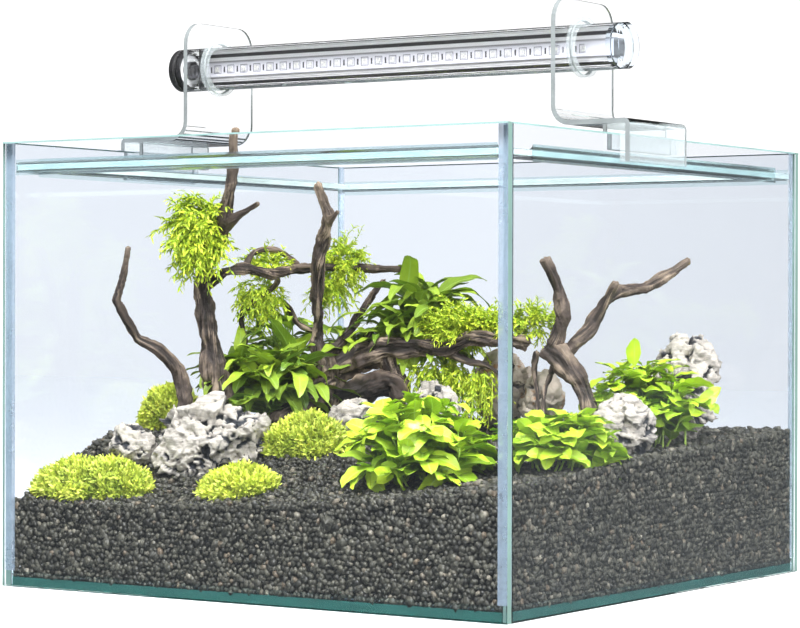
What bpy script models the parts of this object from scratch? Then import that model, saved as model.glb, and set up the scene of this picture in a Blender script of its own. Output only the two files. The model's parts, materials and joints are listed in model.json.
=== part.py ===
"""Rimless glass aquarium with a planted scape and a tube lamp on two clip-on clear holders.

Metres, +Z up.  X runs along the front pane, +Y to the back, and the origin is the middle of
the underside.  The tank, its silicone, braces and contents are one fixed body.  Each holder
sits on a soft liner that slides along a side rim, and lifts off it; the lamp turns in bushes.
"""
import math

import bmesh
import bpy
from mathutils import Matrix, Vector, noise

# ---- driving dimensions ----------------------------------------------------------------
TANK_LENGTH = 0.600
TANK_DEPTH = 0.600
TANK_HEIGHT = 0.450
WALL_GLASS = 0.008
FLOOR_GLASS = 0.010
GLASS_ARRIS = 0.0006
TOUCH_GAP = 0.0003

BOND_LINE = 0.001
FILLET = 0.005

BRACE_WIDTH = 0.040
BRACE_GLASS = 0.006
BRACE_DROP = 0.023
BRACE_BUTT_GAP = 0.0005

HOLDER_SHEET = 0.005
HOLDER_WIDTH = 0.116
HOLDER_REACH = 0.069
HOLDER_RISE = 0.126
HOLDER_BEND = 0.015
FLANGE_BEND_SHARE = 0.2
HOLDER_CORNER = 0.024
HOLDER_Y = -0.037
TONGUE_LIFT = 0.010
LINER_WALL = 0.0054
OUTER_FLANGE_DROP = 0.027
INNER_LIP_DROP = 0.0155

TUBE_DIAMETER = 0.046
TUBE_WALL = 0.0018
LAMP_OVERHANG = 0.052
LAMP_HEIGHT = 0.090
BUSH_PLAY = 0.0003
BUSH_WALL = 0.0034
BUSH_FLANGE = 0.0025
BUSH_FLANGE_THICK = 0.002
CAP_THICK = 0.006
CAP_ROUND = 0.0015
CAP_NECK_LEFT = 0.014
CAP_NECK_RIGHT = 0.006
GASKET_THICK = 0.003
INLET_DIAMETER = 0.012
INLET_RECESS = 0.010
INLET_LENGTH = 0.010
REFLECTOR_SHEET = 0.0010
REFLECTOR_SEAT = 0.009
REFLECTOR_SPREAD = math.radians(104)
REFLECTOR_INSET_LEFT = 0.030
REFLECTOR_INSET_RIGHT = 0.010
BOARD_WIDTH = 0.015
BOARD_THICK = 0.0016
CHIP_SIZE = 0.0050
CHIP_RISE = 0.0012
CHIP_PITCH = 0.0175
FIRST_CHIP = 0.9
BULKHEAD_THICK = 0.003

GRAVEL_FRONT_LEFT = 0.085
GRAVEL_FRONT_RIGHT = 0.119
GRAVEL_BACK = 0.151
MOUND_RISE = 0.022
MOUND_CENTRE = (-0.08, 0.06)
MOUND_SPREAD = 0.150
FRONT_FALL = 2.4
LEFT_BANK_RUN = 0.29
GRAVEL_CORNER = 0.6 * FILLET
GRAVEL_CELLS = 15
SCAPE_LENGTH = 0.584
SCAPE_DEPTH = 0.584
SCAPE_HEIGHT = 0.450

ROUND_SIDES = 36
WOOD_SIDES = 7

# ---- worked out from them --------------------------------------------------------------
HALF_LENGTH = TANK_LENGTH / 2
HALF_DEPTH = TANK_DEPTH / 2
INNER_X = HALF_LENGTH - WALL_GLASS
INNER_Y = HALF_DEPTH - WALL_GLASS
BRACE_TOP = TANK_HEIGHT - BRACE_DROP
BRACE_BOTTOM = BRACE_TOP - BRACE_GLASS
TONGUE_BOTTOM = TANK_HEIGHT + TONGUE_LIFT
TONGUE_TOP = TONGUE_BOTTOM + HOLDER_SHEET
PLATE_TOP = TONGUE_BOTTOM + HOLDER_RISE
LAMP_Z = TANK_HEIGHT + LAMP_HEIGHT
LIP_OUTER = INNER_X - TOUCH_GAP - LINER_WALL - TOUCH_GAP
LIP_INNER = LIP_OUTER - HOLDER_SHEET
FLANGE_INNER = HALF_LENGTH + TOUCH_GAP + LINER_WALL + TOUCH_GAP
FLANGE_OUTER = FLANGE_INNER + HOLDER_SHEET
PLATE_OUTER = HALF_LENGTH - HOLDER_REACH - HOLDER_SHEET / 2
PLATE_INNER = PLATE_OUTER - HOLDER_SHEET
PLATE_MIDDLE = (PLATE_INNER + PLATE_OUTER) / 2
LAMP_LENGTH = 2 * (PLATE_MIDDLE + LAMP_OVERHANG)
TUBE_RADIUS = TUBE_DIAMETER / 2
TUBE_BORE = TUBE_RADIUS - TUBE_WALL
BUSH_BORE = TUBE_RADIUS + BUSH_PLAY
HOLE_RADIUS = BUSH_BORE + BUSH_WALL + TOUCH_GAP
TUBE_HALF = LAMP_LENGTH / 2 - CAP_THICK - GASKET_THICK
LAMP_AXIS = Vector((0, HOLDER_Y, LAMP_Z))
# The scape is laid out on a bed of its own size, then stretched to fill the tank it is in.
SCAPE_FIT = Vector((2 * INNER_X / SCAPE_LENGTH, 2 * INNER_Y / SCAPE_DEPTH,
                    TANK_HEIGHT / SCAPE_HEIGHT))


# ---- shared tools ----------------------------------------------------------------------
def clear_scene():
    for old in list(bpy.data.objects):
        bpy.data.objects.remove(old, do_unlink=True)


def make_material(name, colour, roughness, metallic=0.0, transmission=0.0):
    material = bpy.data.materials.new(name)
    material.use_nodes = True
    shader = material.node_tree.nodes["Principled BSDF"]
    shader.inputs["Base Color"].default_value = (*colour, 1.0)
    shader.inputs["Roughness"].default_value = roughness
    shader.inputs["Metallic"].default_value = metallic
    shader.inputs["Transmission Weight"].default_value = transmission
    material.diffuse_color = (*colour, 1.0)
    return material


FINISHES = {
    "glass": ((0.78, 0.90, 0.90), 0.03, 0.0, 0.9),
    "silicone": ((0.80, 0.88, 0.88), 0.35, 0.0, 0.3),
    "acrylic": ((0.92, 0.96, 0.97), 0.06, 0.0, 0.9),
    "soft_clear": ((0.88, 0.93, 0.95), 0.40, 0.0, 0.5),
    "gravel": ((0.10, 0.095, 0.085), 0.80),
    "grey_rock": ((0.52, 0.49, 0.46), 0.85),
    "brown_rock": ((0.36, 0.26, 0.19), 0.80),
    "wood": ((0.15, 0.105, 0.080), 0.85),
    "moss": ((0.32, 0.55, 0.10), 0.90),
    "leaf": ((0.25, 0.52, 0.07), 0.55),
    "chrome": ((0.86, 0.87, 0.88), 0.08, 1.0),
    "board_white": ((0.93, 0.93, 0.95), 0.45),
    "black_cap": ((0.025, 0.025, 0.027), 0.40),
    "black_rubber": ((0.020, 0.020, 0.020), 0.70),
}


def add_object(name, mesh_edit, finish, origin=(0, 0, 0), parent=None):
    """Turn a bmesh in world metres into an object whose origin is the point given."""
    bmesh.ops.remove_doubles(mesh_edit, verts=mesh_edit.verts, dist=1e-7)
    bmesh.ops.recalc_face_normals(mesh_edit, faces=mesh_edit.faces)
    bmesh.ops.translate(mesh_edit, verts=mesh_edit.verts, vec=-Vector(origin))
    mesh = bpy.data.meshes.new(name)
    mesh_edit.to_mesh(mesh)
    mesh_edit.free()
    thing = bpy.data.objects.new(name, mesh)
    bpy.context.collection.objects.link(thing)
    if finish is not None:
        mesh.materials.append(make_material(name + "_finish", *FINISHES[finish]))
    place = Vector(origin)
    if parent is not None:
        thing.parent = parent
        place -= parent.matrix_world.translation
    thing.location = place
    return thing


def smooth_shade(thing, angle=40):
    thing.data.shade_smooth()
    thing.data.set_sharp_from_angle(angle=math.radians(angle))


def add_axis(name, point):
    axis = bpy.data.objects.new(name, None)
    axis.location = point
    bpy.context.collection.objects.link(axis)
    bpy.context.view_layer.update()
    return axis


def hide_cutter(thing):
    thing.hide_render = True
    thing.display_type = 'WIRE'
    return thing


def add_boolean(thing, cutter, operation='DIFFERENCE'):
    step = thing.modifiers.new(operation.lower(), 'BOOLEAN')
    step.operation = operation
    step.solver = 'EXACT'
    step.object = cutter


def add_arris(thing, width=GLASS_ARRIS):
    bevel = thing.modifiers.new("arris", 'BEVEL')
    bevel.width = width
    bevel.segments = 1
    bevel.limit_method = 'ANGLE'


def box_mesh(low, high):
    edit = bmesh.new()
    bmesh.ops.create_cube(edit, size=1.0)
    low, high = Vector(low), Vector(high)
    for vert in edit.verts:
        vert.co = Vector(l + (c + 0.5) * (h - l) for c, l, h in zip(vert.co, low, high))
    return edit


def prism_mesh(outline, axis, start, end):
    """Extrude a closed outline of two-number points along X, Y or Z."""
    def lift(point, along):
        first, second = point
        return {
            "X": (along, first, second),
            "Y": (first, along, second),
            "Z": (first, second, along),
        }[axis]

    edit = bmesh.new()
    face = edit.faces.new([edit.verts.new(lift(p, start)) for p in outline])
    grown = bmesh.ops.extrude_face_region(edit, geom=[face])
    moved = [g for g in grown["geom"] if isinstance(g, bmesh.types.BMVert)]
    bmesh.ops.translate(edit, verts=moved, vec=Vector(lift((0, 0), end - start)))
    return edit


def turned_mesh(profile, centre, sides=ROUND_SIDES):
    """Turn a closed (x, radius) profile about the X axis through the centre."""
    edit = bmesh.new()
    rings = []
    for step in range(sides):
        turn = 2 * math.pi * step / sides
        out = Vector((0, math.cos(turn), math.sin(turn)))
        rings.append([edit.verts.new(centre + Vector((x, 0, 0)) + out * r) for x, r in profile])
    for here, there in zip(rings, rings[1:] + rings[:1]):
        for k in range(len(profile)):
            n = (k + 1) % len(profile)
            edit.faces.new((here[k], here[n], there[n], there[k]))
    return edit


def disc_mesh(x_start, x_end, radius, centre, sides=ROUND_SIDES):
    """A plain round plug along X."""
    outline = [
        (centre.y + radius * math.cos(2 * math.pi * k / sides),
         centre.z + radius * math.sin(2 * math.pi * k / sides))
        for k in range(sides)
    ]
    return prism_mesh(outline, "X", x_start, x_end)


def arc_points(centre, radius, start, end, steps):
    """Points on an arc in the plane, angles in radians, both ends included."""
    return [
        (centre[0] + radius * math.cos(start + (end - start) * k / steps),
         centre[1] + radius * math.sin(start + (end - start) * k / steps))
        for k in range(steps + 1)
    ]


def tube_mesh(points, grow=0.0, sides=WOOD_SIDES):
    """Sweep a tapering round limb through (x, y, z, radius) points, with pinched ends."""
    edit = bmesh.new()
    places = [Vector(p[:3]) for p in points]
    radii = [p[3] + grow for p in points]
    ways = [(b - a).normalized() for a, b in zip(places, places[1:])]
    bends = [ways[0]] + [(a + b).normalized() for a, b in zip(ways, ways[1:])] + [ways[-1]]
    side = bends[0].orthogonal().normalized()
    rings = []
    for place, radius, way in zip(places, radii, bends):
        side = (side - way * side.dot(way)).normalized()
        across = way.cross(side)
        turns = [2 * math.pi * k / sides for k in range(sides)]
        rings.append([
            edit.verts.new(place + (side * math.cos(t) + across * math.sin(t)) * radius)
            for t in turns
        ])
    for here, there in zip(rings, rings[1:]):
        for k in range(sides):
            n = (k + 1) % sides
            edit.faces.new((here[k], here[n], there[n], there[k]))
    for ring, tip in ((rings[0], places[0] - bends[0] * radii[0] * 0.5),
                      (rings[-1], places[-1] + bends[-1] * radii[-1] * 0.5)):
        point = edit.verts.new(tip)
        for k in range(sides):
            edit.faces.new((ring[k], ring[(k + 1) % sides], point))
    return edit


def lump_mesh(centre, radii, roughness, seed, detail, grow=0.0, turn=0.0):
    """A rounded lump: a ball stretched to its half sizes and dented by smooth noise."""
    edit = bmesh.new()
    bmesh.ops.create_icosphere(edit, subdivisions=detail, radius=1.0)
    spin = Matrix.Rotation(turn, 3, 'Z')
    for vert in edit.verts:
        way = vert.co.normalized()
        push = 1 + roughness * noise.noise(way * 1.7 + Vector((seed, seed * 0.7, -seed)))
        reach = Vector(c * (r * push + grow) for c, r in zip(way, radii))
        vert.co = Vector(centre) + spin @ reach
    return edit


# ---- the glass box ---------------------------------------------------------------------
def build_panes(tank):
    side_end = INNER_Y - BOND_LINE
    floor_x = INNER_X - BOND_LINE
    floor_y = INNER_Y - BOND_LINE
    panes = {
        "bottom_pane": ((-floor_x, -floor_y, 0), (floor_x, floor_y, FLOOR_GLASS)),
        "front_pane": ((-HALF_LENGTH, -HALF_DEPTH, 0), (HALF_LENGTH, -INNER_Y, TANK_HEIGHT)),
        "back_pane": ((-HALF_LENGTH, INNER_Y, 0), (HALF_LENGTH, HALF_DEPTH, TANK_HEIGHT)),
        "left_pane": ((-HALF_LENGTH, -side_end, 0), (-INNER_X, side_end, TANK_HEIGHT)),
        "right_pane": ((INNER_X, -side_end, 0), (HALF_LENGTH, side_end, TANK_HEIGHT)),
    }
    for name, (low, high) in panes.items():
        add_arris(add_object(name, box_mesh(low, high), "glass", parent=tank))


def fillet_curve(steps=3):
    """Concave bead between two faces: from the leg on one face round to the other's."""
    reach = FILLET
    return arc_points((reach, reach), reach - TOUCH_GAP, math.radians(270), math.radians(180),
                      steps)


def build_corner_seals(tank):
    """A bead up each inside corner, with a tongue in the joint between the two panes."""
    foot = FLOOR_GLASS + FILLET + 2 * TOUCH_GAP
    head = TANK_HEIGHT - TOUCH_GAP
    for end, y_sign in (("front", -1), ("back", 1)):
        for side, x_sign in (("left", -1), ("right", 1)):
            bead = fillet_curve()
            joint = [(TOUCH_GAP, BOND_LINE - TOUCH_GAP),
                     (TOUCH_GAP - WALL_GLASS, BOND_LINE - TOUCH_GAP),
                     (TOUCH_GAP - WALL_GLASS, TOUCH_GAP)]
            outline = [(x_sign * (INNER_X - u), y_sign * (INNER_Y - v)) for u, v in bead + joint]
            seal = add_object(f"corner_seal_{end}_{side}",
                              prism_mesh(outline, "Z", foot, head), "silicone", parent=tank)
            smooth_shade(seal)


def build_floor_seal(tank):
    """One mitred ring round the floor pane, filling its joint and beading above it."""
    low = TOUCH_GAP
    bead = [(TOUCH_GAP, FLOOR_GLASS + FILLET)]
    bead += [(u, FLOOR_GLASS + v) for u, v in reversed(fillet_curve())]
    bead += [(FILLET, FLOOR_GLASS + TOUCH_GAP),
             (BOND_LINE - TOUCH_GAP, FLOOR_GLASS + TOUCH_GAP),
             (BOND_LINE - TOUCH_GAP, low), (TOUCH_GAP, low)]
    section = [p for k, p in enumerate(bead) if k == 0 or (Vector(p) - Vector(bead[k - 1])).length > 1e-6]
    edit = bmesh.new()
    rings = []
    for x_sign, y_sign in ((-1, -1), (1, -1), (1, 1), (-1, 1)):
        rings.append([edit.verts.new((x_sign * (INNER_X - u), y_sign * (INNER_Y - u), z))
                      for u, z in section])
    for here, there in zip(rings, rings[1:] + rings[:1]):
        for k in range(len(section)):
            n = (k + 1) % len(section)
            edit.faces.new((here[k], here[n], there[n], there[k]))
    smooth_shade(add_object("floor_seal", edit, "silicone", parent=tank))


def build_braces(tank):
    """Four flat strips below the rim, each bonded to its pane by a double bead."""
    near = BOND_LINE
    far = BOND_LINE + BRACE_WIDTH
    long_end = INNER_X - BOND_LINE
    side_end = INNER_Y - far - BRACE_BUTT_GAP
    corner_clear = FILLET + TOUCH_GAP
    clip = corner_clear + near
    bead = fillet_curve()
    top = [(u, BRACE_TOP + v) for u, v in bead]
    bottom = [(u, BRACE_BOTTOM - v) for u, v in reversed(bead)]
    waist = [(BOND_LINE - TOUCH_GAP, BRACE_BOTTOM - TOUCH_GAP),
             (BOND_LINE - TOUCH_GAP, BRACE_TOP + TOUCH_GAP)]
    section = bottom + waist + top
    for name, sign in (("front", -1), ("back", 1)):
        outline = [(-long_end + clip, sign * (INNER_Y - near)),
                   (long_end - clip, sign * (INNER_Y - near)),
                   (long_end, sign * (INNER_Y - near - clip)),
                   (long_end, sign * (INNER_Y - far)),
                   (-long_end, sign * (INNER_Y - far)),
                   (-long_end, sign * (INNER_Y - near - clip))]
        brace = add_object(f"{name}_brace", prism_mesh(outline, "Z", BRACE_BOTTOM, BRACE_TOP),
                           "glass", parent=tank)
        add_arris(brace)
        end = INNER_X - corner_clear - 2 * TOUCH_GAP
        ring = [(sign * (INNER_Y - u), z) for u, z in section]
        smooth_shade(add_object(f"{name}_brace_seal", prism_mesh(ring, "X", -end, end),
                                "silicone", parent=tank))
    for name, sign in (("left", -1), ("right", 1)):
        low, high = sorted((sign * (INNER_X - near), sign * (INNER_X - far)))
        brace = add_object(f"{name}_brace", box_mesh((low, -side_end, BRACE_BOTTOM),
                                                     (high, side_end, BRACE_TOP)),
                           "glass", parent=tank)
        add_arris(brace)
        ring = [(sign * (INNER_X - u), z) for u, z in section]
        smooth_shade(add_object(f"{name}_brace_seal",
                                prism_mesh(ring, "Y", -side_end, side_end),
                                "silicone", parent=tank))


# ---- gravel and scape ------------------------------------------------------------------
def ease(value):
    value = min(max(value, 0.0), 1.0)
    return value * value * (3 - 2 * value)


def gravel_height(x, y):
    """Top of the gravel: low in front, banked fast on the left, with a mound mid-tank."""
    x, y = x / SCAPE_FIT.x, y / SCAPE_FIT.y
    across = x / SCAPE_LENGTH + 0.5
    back_way = y / SCAPE_DEPTH + 0.5
    front = GRAVEL_FRONT_LEFT + (GRAVEL_FRONT_RIGHT - GRAVEL_FRONT_LEFT) * across ** FRONT_FALL
    climb = (1 - across) * ease(back_way / LEFT_BANK_RUN) + across * back_way
    off = (x - MOUND_CENTRE[0]) ** 2 + (y - MOUND_CENTRE[1]) ** 2
    mound = MOUND_RISE * math.exp(-off / MOUND_SPREAD ** 2)
    return (front + (GRAVEL_BACK - front) * climb + mound) * SCAPE_FIT.z


def gravel_mesh(raise_by=0.0):
    """The bed as one solid, its foot drawn in to clear the floor bead."""
    half_x, half_y = INNER_X - 2 * TOUCH_GAP, INNER_Y - 2 * TOUCH_GAP
    foot_inset = FILLET + 2 * TOUCH_GAP
    floor = FLOOR_GLASS + TOUCH_GAP
    edit = bmesh.new()
    count = GRAVEL_CELLS

    def spot(i, j, inset=0.0):
        x, y = ((2 * k / count - 1) for k in (i, j))
        corner = GRAVEL_CORNER if abs(x) == 1 and abs(y) == 1 else 0.0
        return (x * (half_x - corner - inset), y * (half_y - corner - inset))

    top = [[edit.verts.new((*spot(i, j), gravel_height(*spot(i, j)) + raise_by))
            for j in range(count + 1)] for i in range(count + 1)]
    for i in range(count):
        for j in range(count):
            edit.faces.new((top[i][j], top[i + 1][j], top[i + 1][j + 1], top[i][j + 1]))
    rim = ([(i, 0) for i in range(count)] + [(count, j) for j in range(count)]
           + [(i, count) for i in range(count, 0, -1)] + [(0, j) for j in range(count, 0, -1)])
    crown = [top[i][j] for i, j in rim]
    waist = [edit.verts.new((*spot(i, j), floor + foot_inset)) for i, j in rim]
    foot = [edit.verts.new((*spot(i, j, foot_inset), floor)) for i, j in rim]
    for upper, lower in ((crown, waist), (waist, foot)):
        for k in range(len(rim)):
            n = (k + 1) % len(rim)
            edit.faces.new((upper[k], lower[k], lower[n], upper[n]))
    edit.faces.new(foot)
    bmesh.ops.triangulate(edit, faces=[f for f in edit.faces if len(f.verts) > 3])
    return edit


# Each limb runs through a few hand-placed (x, y, z, radius) points.
WOOD = {
    "left_twig": [
        [(-0.208, -0.113, 0.130, 0.010), (-0.208, -0.114, 0.185, 0.0095),
         (-0.214, -0.119, 0.217, 0.0085), (-0.224, -0.138, 0.238, 0.0075),
         (-0.243, -0.151, 0.250, 0.0065), (-0.245, -0.165, 0.267, 0.0060),
         (-0.250, -0.177, 0.290, 0.0055), (-0.242, -0.174, 0.316, 0.0050),
         (-0.233, -0.178, 0.345, 0.0042)],
    ],
    "left_trunk": [
        [(-0.189, -0.076, 0.125, 0.017), (-0.190, -0.078, 0.185, 0.016),
         (-0.197, -0.083, 0.238, 0.015), (-0.204, -0.088, 0.290, 0.0135),
         (-0.203, -0.089, 0.322, 0.0125), (-0.172, -0.099, 0.364, 0.0100),
         (-0.151, -0.111, 0.405, 0.0080), (-0.144, -0.115, 0.440, 0.0065),
         (-0.142, -0.118, 0.468, 0.0050)],
        [(-0.180, -0.097, 0.352, 0.0055), (-0.157, -0.104, 0.372, 0.0060),
         (-0.120, -0.104, 0.391, 0.0042)],
        [(-0.205, -0.086, 0.300, 0.0075), (-0.176, -0.088, 0.320, 0.0080),
         (-0.157, -0.074, 0.324, 0.0080), (-0.150, -0.040, 0.318, 0.0075),
         (-0.152, 0.006, 0.323, 0.0070), (-0.132, 0.052, 0.327, 0.0065),
         (-0.102, 0.099, 0.325, 0.0055), (-0.074, 0.119, 0.325, 0.0045)],
    ],
    "centre_trunk": [
        [(-0.118, 0.027, 0.140, 0.022), (-0.119, 0.027, 0.178, 0.020),
         (-0.124, 0.024, 0.215, 0.0165), (-0.131, 0.018, 0.250, 0.0125),
         (-0.122, 0.006, 0.291, 0.0115), (-0.116, -0.003, 0.325, 0.0120),
         (-0.106, -0.006, 0.357, 0.0115), (-0.094, -0.014, 0.382, 0.0100),
         (-0.103, -0.021, 0.413, 0.0065)],
        [(-0.100, -0.012, 0.368, 0.0055), (-0.074, -0.025, 0.384, 0.0032)],
        [(-0.120, 0.028, 0.235, 0.0090), (-0.113, 0.056, 0.262, 0.0090),
         (-0.104, 0.075, 0.292, 0.0080), (-0.090, 0.085, 0.312, 0.0060)],
        [(-0.118, 0.030, 0.205, 0.0140), (-0.121, -0.016, 0.184, 0.0120),
         (-0.131, -0.056, 0.166, 0.0095)],
    ],
    "long_branch": [
        [(-0.088, 0.040, 0.226, 0.0150), (-0.060, 0.043, 0.238, 0.0145),
         (-0.020, 0.041, 0.242, 0.0120), (0.023, 0.039, 0.240, 0.0105),
         (0.055, 0.038, 0.252, 0.0100), (0.082, 0.040, 0.250, 0.0105),
         (0.110, 0.043, 0.246, 0.0110)],
        [(-0.060, 0.044, 0.236, 0.0120), (-0.046, 0.046, 0.205, 0.0115),
         (-0.040, 0.048, 0.168, 0.0105), (-0.038, 0.049, 0.140, 0.0100)],
    ],
    "right_root": [
        [(0.134, 0.042, 0.240, 0.0120), (0.152, 0.042, 0.230, 0.0125),
         (0.172, 0.042, 0.209, 0.0105), (0.181, 0.048, 0.179, 0.0090),
         (0.185, 0.051, 0.125, 0.0085)],
        [(0.140, 0.042, 0.240, 0.0090), (0.154, 0.042, 0.274, 0.0085),
         (0.150, 0.040, 0.301, 0.0075), (0.146, 0.028, 0.322, 0.0068),
         (0.142, 0.024, 0.333, 0.0062)],
        [(0.150, 0.052, 0.236, 0.0090), (0.160, 0.083, 0.258, 0.0085),
         (0.165, 0.109, 0.289, 0.0080), (0.172, 0.126, 0.301, 0.0078),
         (0.189, 0.150, 0.303, 0.0072), (0.205, 0.172, 0.318, 0.0064),
         (0.219, 0.193, 0.333, 0.0050)],
        [(0.161, 0.088, 0.259, 0.0058), (0.177, 0.092, 0.291, 0.0055),
         (0.189, 0.089, 0.309, 0.0040)],
    ],
}

# centre, half sizes, roughness, noise seed, detail, turn
ROCKS = {
    "rock_left_large": ((-0.122, -0.176, 0.140), (0.058, 0.033, 0.046), 0.30, 3.1, 3, 0.45),
    "rock_left_small": ((-0.212, -0.196, 0.137), (0.026, 0.021, 0.024), 0.25, 5.3, 2, 0.5),
    "rock_centre": ((-0.047, -0.031, 0.168), (0.023, 0.020, 0.021), 0.22, 7.7, 2, 0.2),
    "rock_middle": ((0.027, 0.002, 0.178), (0.030, 0.018, 0.026), 0.25, 2.9, 2, 0.3),
    "rock_right": ((0.236, 0.018, 0.162), (0.034, 0.026, 0.033), 0.20, 9.1, 3, 0.6),
    "rock_back_slab": ((0.222, 0.171, 0.196), (0.036, 0.026, 0.056), 0.28, 4.4, 3, 0.5),
    "brown_stone_left": ((0.050, 0.096, 0.196), (0.028, 0.026, 0.044), 0.20, 1.7, 2, 0.1),
    "brown_stone_right": ((0.103, 0.088, 0.186), (0.022, 0.024, 0.032), 0.20, 6.2, 2, 0.9),
}

PLANTS = {
    "moss_back_left": ((-0.262, -0.070, 0.164), (0.026, 0.034, 0.032), 0.14, 1.1, 2, 0.0),
    "moss_front_left": ((-0.218, -0.248, 0.096), (0.070, 0.035, 0.032), 0.16, 2.2, 2, 0.1),
    "moss_front_middle": ((-0.044, -0.234, 0.094), (0.045, 0.028, 0.029), 0.16, 3.3, 2, 0.2),
    "moss_centre": ((-0.046, -0.120, 0.128), (0.048, 0.036, 0.043), 0.14, 4.4, 2, 0.5),
    "moss_left_trunk": ((-0.192, -0.106, 0.366), (0.034, 0.026, 0.044), 0.16, 5.5, 2, 0.0),
    "moss_long_branch": ((0.030, 0.052, 0.262), (0.042, 0.020, 0.022), 0.14, 6.6, 2, 0.0),
    "moss_centre_trunk": ((-0.136, 0.072, 0.334), (0.026, 0.026, 0.024), 0.14, 7.7, 2, 0.3),
    "leaves_front_right": ((0.134, -0.192, 0.138), (0.070, 0.052, 0.056), 0.18, 8.8, 2, 0.3),
    "leaves_corner_right": ((0.238, -0.106, 0.142), (0.046, 0.048, 0.038), 0.18, 9.9, 2, 0.0),
    "leaves_back_right": ((0.218, 0.099, 0.180), (0.058, 0.036, 0.048), 0.18, 10.1, 2, 0.4),
    "leaves_long_centre": ((-0.036, 0.092, 0.280), (0.040, 0.030, 0.044), 0.18, 11.2, 2, 0.0),
    "leaves_middle_left": ((-0.160, -0.024, 0.212), (0.050, 0.036, 0.044), 0.18, 12.3, 2, 0.6),
}


def fit_scape(edit):
    bmesh.ops.scale(edit, vec=SCAPE_FIT, verts=edit.verts)
    return edit


def build_gravel(tank):
    """The bed, and a cutter just above it that trims whatever stands in the gravel."""
    add_object("gravel_bed", gravel_mesh(), "gravel", parent=tank)
    return hide_cutter(add_object("gravel_cutter", gravel_mesh(TOUCH_GAP), None, parent=tank))


def build_wood(tank, gravel_cutter):
    """Each piece of driftwood, and a slightly fatter cutter that keeps plants off it."""
    cutters = {}
    for name, limbs in WOOD.items():
        for grow, finish in ((0.0, "wood"), (2 * TOUCH_GAP, None)):
            label = name if finish else name + "_cutter"
            main = add_object(label, fit_scape(tube_mesh(limbs[0], grow)), finish, parent=tank)
            for number, limb in enumerate(limbs[1:], 1):
                joined = add_object(f"{label}_limb_{number}", fit_scape(tube_mesh(limb, grow)),
                                    None, parent=tank)
                add_boolean(main, hide_cutter(joined), 'UNION')
            if finish:
                add_boolean(main, gravel_cutter)
            else:
                cutters[name] = hide_cutter(main)
    return cutters


def build_lumps(tank, table, finish_of, gravel_cutter, clear_of):
    """Rocks or plants, cut by the gravel and by what they grow round or lean on."""
    cutters = {}
    for name, (centre, radii, rough, seed, detail, turn) in table.items():
        solid = lump_mesh(centre, radii, rough, seed, detail, turn=turn)
        lump = add_object(name, fit_scape(solid), finish_of(name), parent=tank)
        add_boolean(lump, gravel_cutter)
        for cutter in clear_of(name):
            add_boolean(lump, cutter)
        fatter = lump_mesh(centre, radii, rough, seed, detail, grow=3 * TOUCH_GAP, turn=turn)
        cutters[name] = hide_cutter(add_object(name + "_cutter", fit_scape(fatter), None,
                                               parent=tank))
    return cutters


# What each planting grows round or leans on, and so is cut back from.
PLANT_CLEARS = {
    "moss_left_trunk": ("left_trunk",),
    "moss_long_branch": ("long_branch",),
    "leaves_middle_left": ("left_trunk", "centre_trunk", "left_twig"),
    "leaves_long_centre": ("long_branch", "centre_trunk", "left_trunk", "moss_long_branch"),
    "moss_centre_trunk": ("left_trunk", "centre_trunk"),
    "moss_centre": ("rock_centre", "rock_left_large"),
    "moss_front_left": ("rock_left_small", "rock_left_large"),
    "moss_front_middle": ("rock_left_large",),
    "moss_back_left": ("left_twig", "rock_left_small"),
    "leaves_back_right": ("right_root", "rock_right", "rock_back_slab"),
    "leaves_front_right": ("rock_middle",),
    "leaves_corner_right": ("rock_right", "leaves_front_right"),
}


def build_scape(tank):
    gravel_cutter = build_gravel(tank)
    cutters = build_wood(tank, gravel_cutter)
    cutters.update(build_lumps(
        tank, ROCKS, lambda name: "brown_rock" if name.startswith("brown") else "grey_rock",
        gravel_cutter, lambda name: []))
    for name, planting in PLANTS.items():
        cutters.update(build_lumps(
            tank, {name: planting}, lambda name: "moss" if name.startswith("moss") else "leaf",
            gravel_cutter, lambda name: [cutters[k] for k in PLANT_CLEARS.get(name, ())]))


# ---- holders and lamp ------------------------------------------------------------------
def sheet_outline():
    """Side view of one bent holder as (outward x, z): plate, tongue and outer flange."""
    bend_centre = (PLATE_OUTER + HOLDER_BEND, TONGUE_TOP + HOLDER_BEND)
    flange_set_back = HOLDER_SHEET * FLANGE_BEND_SHARE
    flange_centre = (FLANGE_INNER - flange_set_back, TONGUE_BOTTOM - flange_set_back)
    outer = [(PLATE_INNER, PLATE_TOP)]
    outer += arc_points(bend_centre, HOLDER_BEND + HOLDER_SHEET, math.pi, 1.5 * math.pi, 6)
    outer += [(FLANGE_INNER, TONGUE_BOTTOM), (FLANGE_INNER, TANK_HEIGHT - OUTER_FLANGE_DROP),
              (FLANGE_OUTER, TANK_HEIGHT - OUTER_FLANGE_DROP)]
    outer += arc_points(flange_centre, FLANGE_OUTER - flange_centre[0], 0, 0.5 * math.pi, 4)
    outer += arc_points(bend_centre, HOLDER_BEND, 1.5 * math.pi, math.pi, 6)
    outer += [(PLATE_OUTER, PLATE_TOP)]
    return outer


def rounded_plate():
    """End view of the plate: straight sides with two large top corners, as (y, z)."""
    half = HOLDER_WIDTH / 2
    below = TANK_HEIGHT - 2 * OUTER_FLANGE_DROP
    corner_z = PLATE_TOP - HOLDER_CORNER
    right = arc_points((HOLDER_Y + half - HOLDER_CORNER, corner_z), HOLDER_CORNER, 0,
                       math.pi / 2, 6)
    left = arc_points((HOLDER_Y - half + HOLDER_CORNER, corner_z), HOLDER_CORNER, math.pi / 2,
                      math.pi, 6)
    return [(HOLDER_Y - half, below), (HOLDER_Y + half, below)] + right + left


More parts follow.
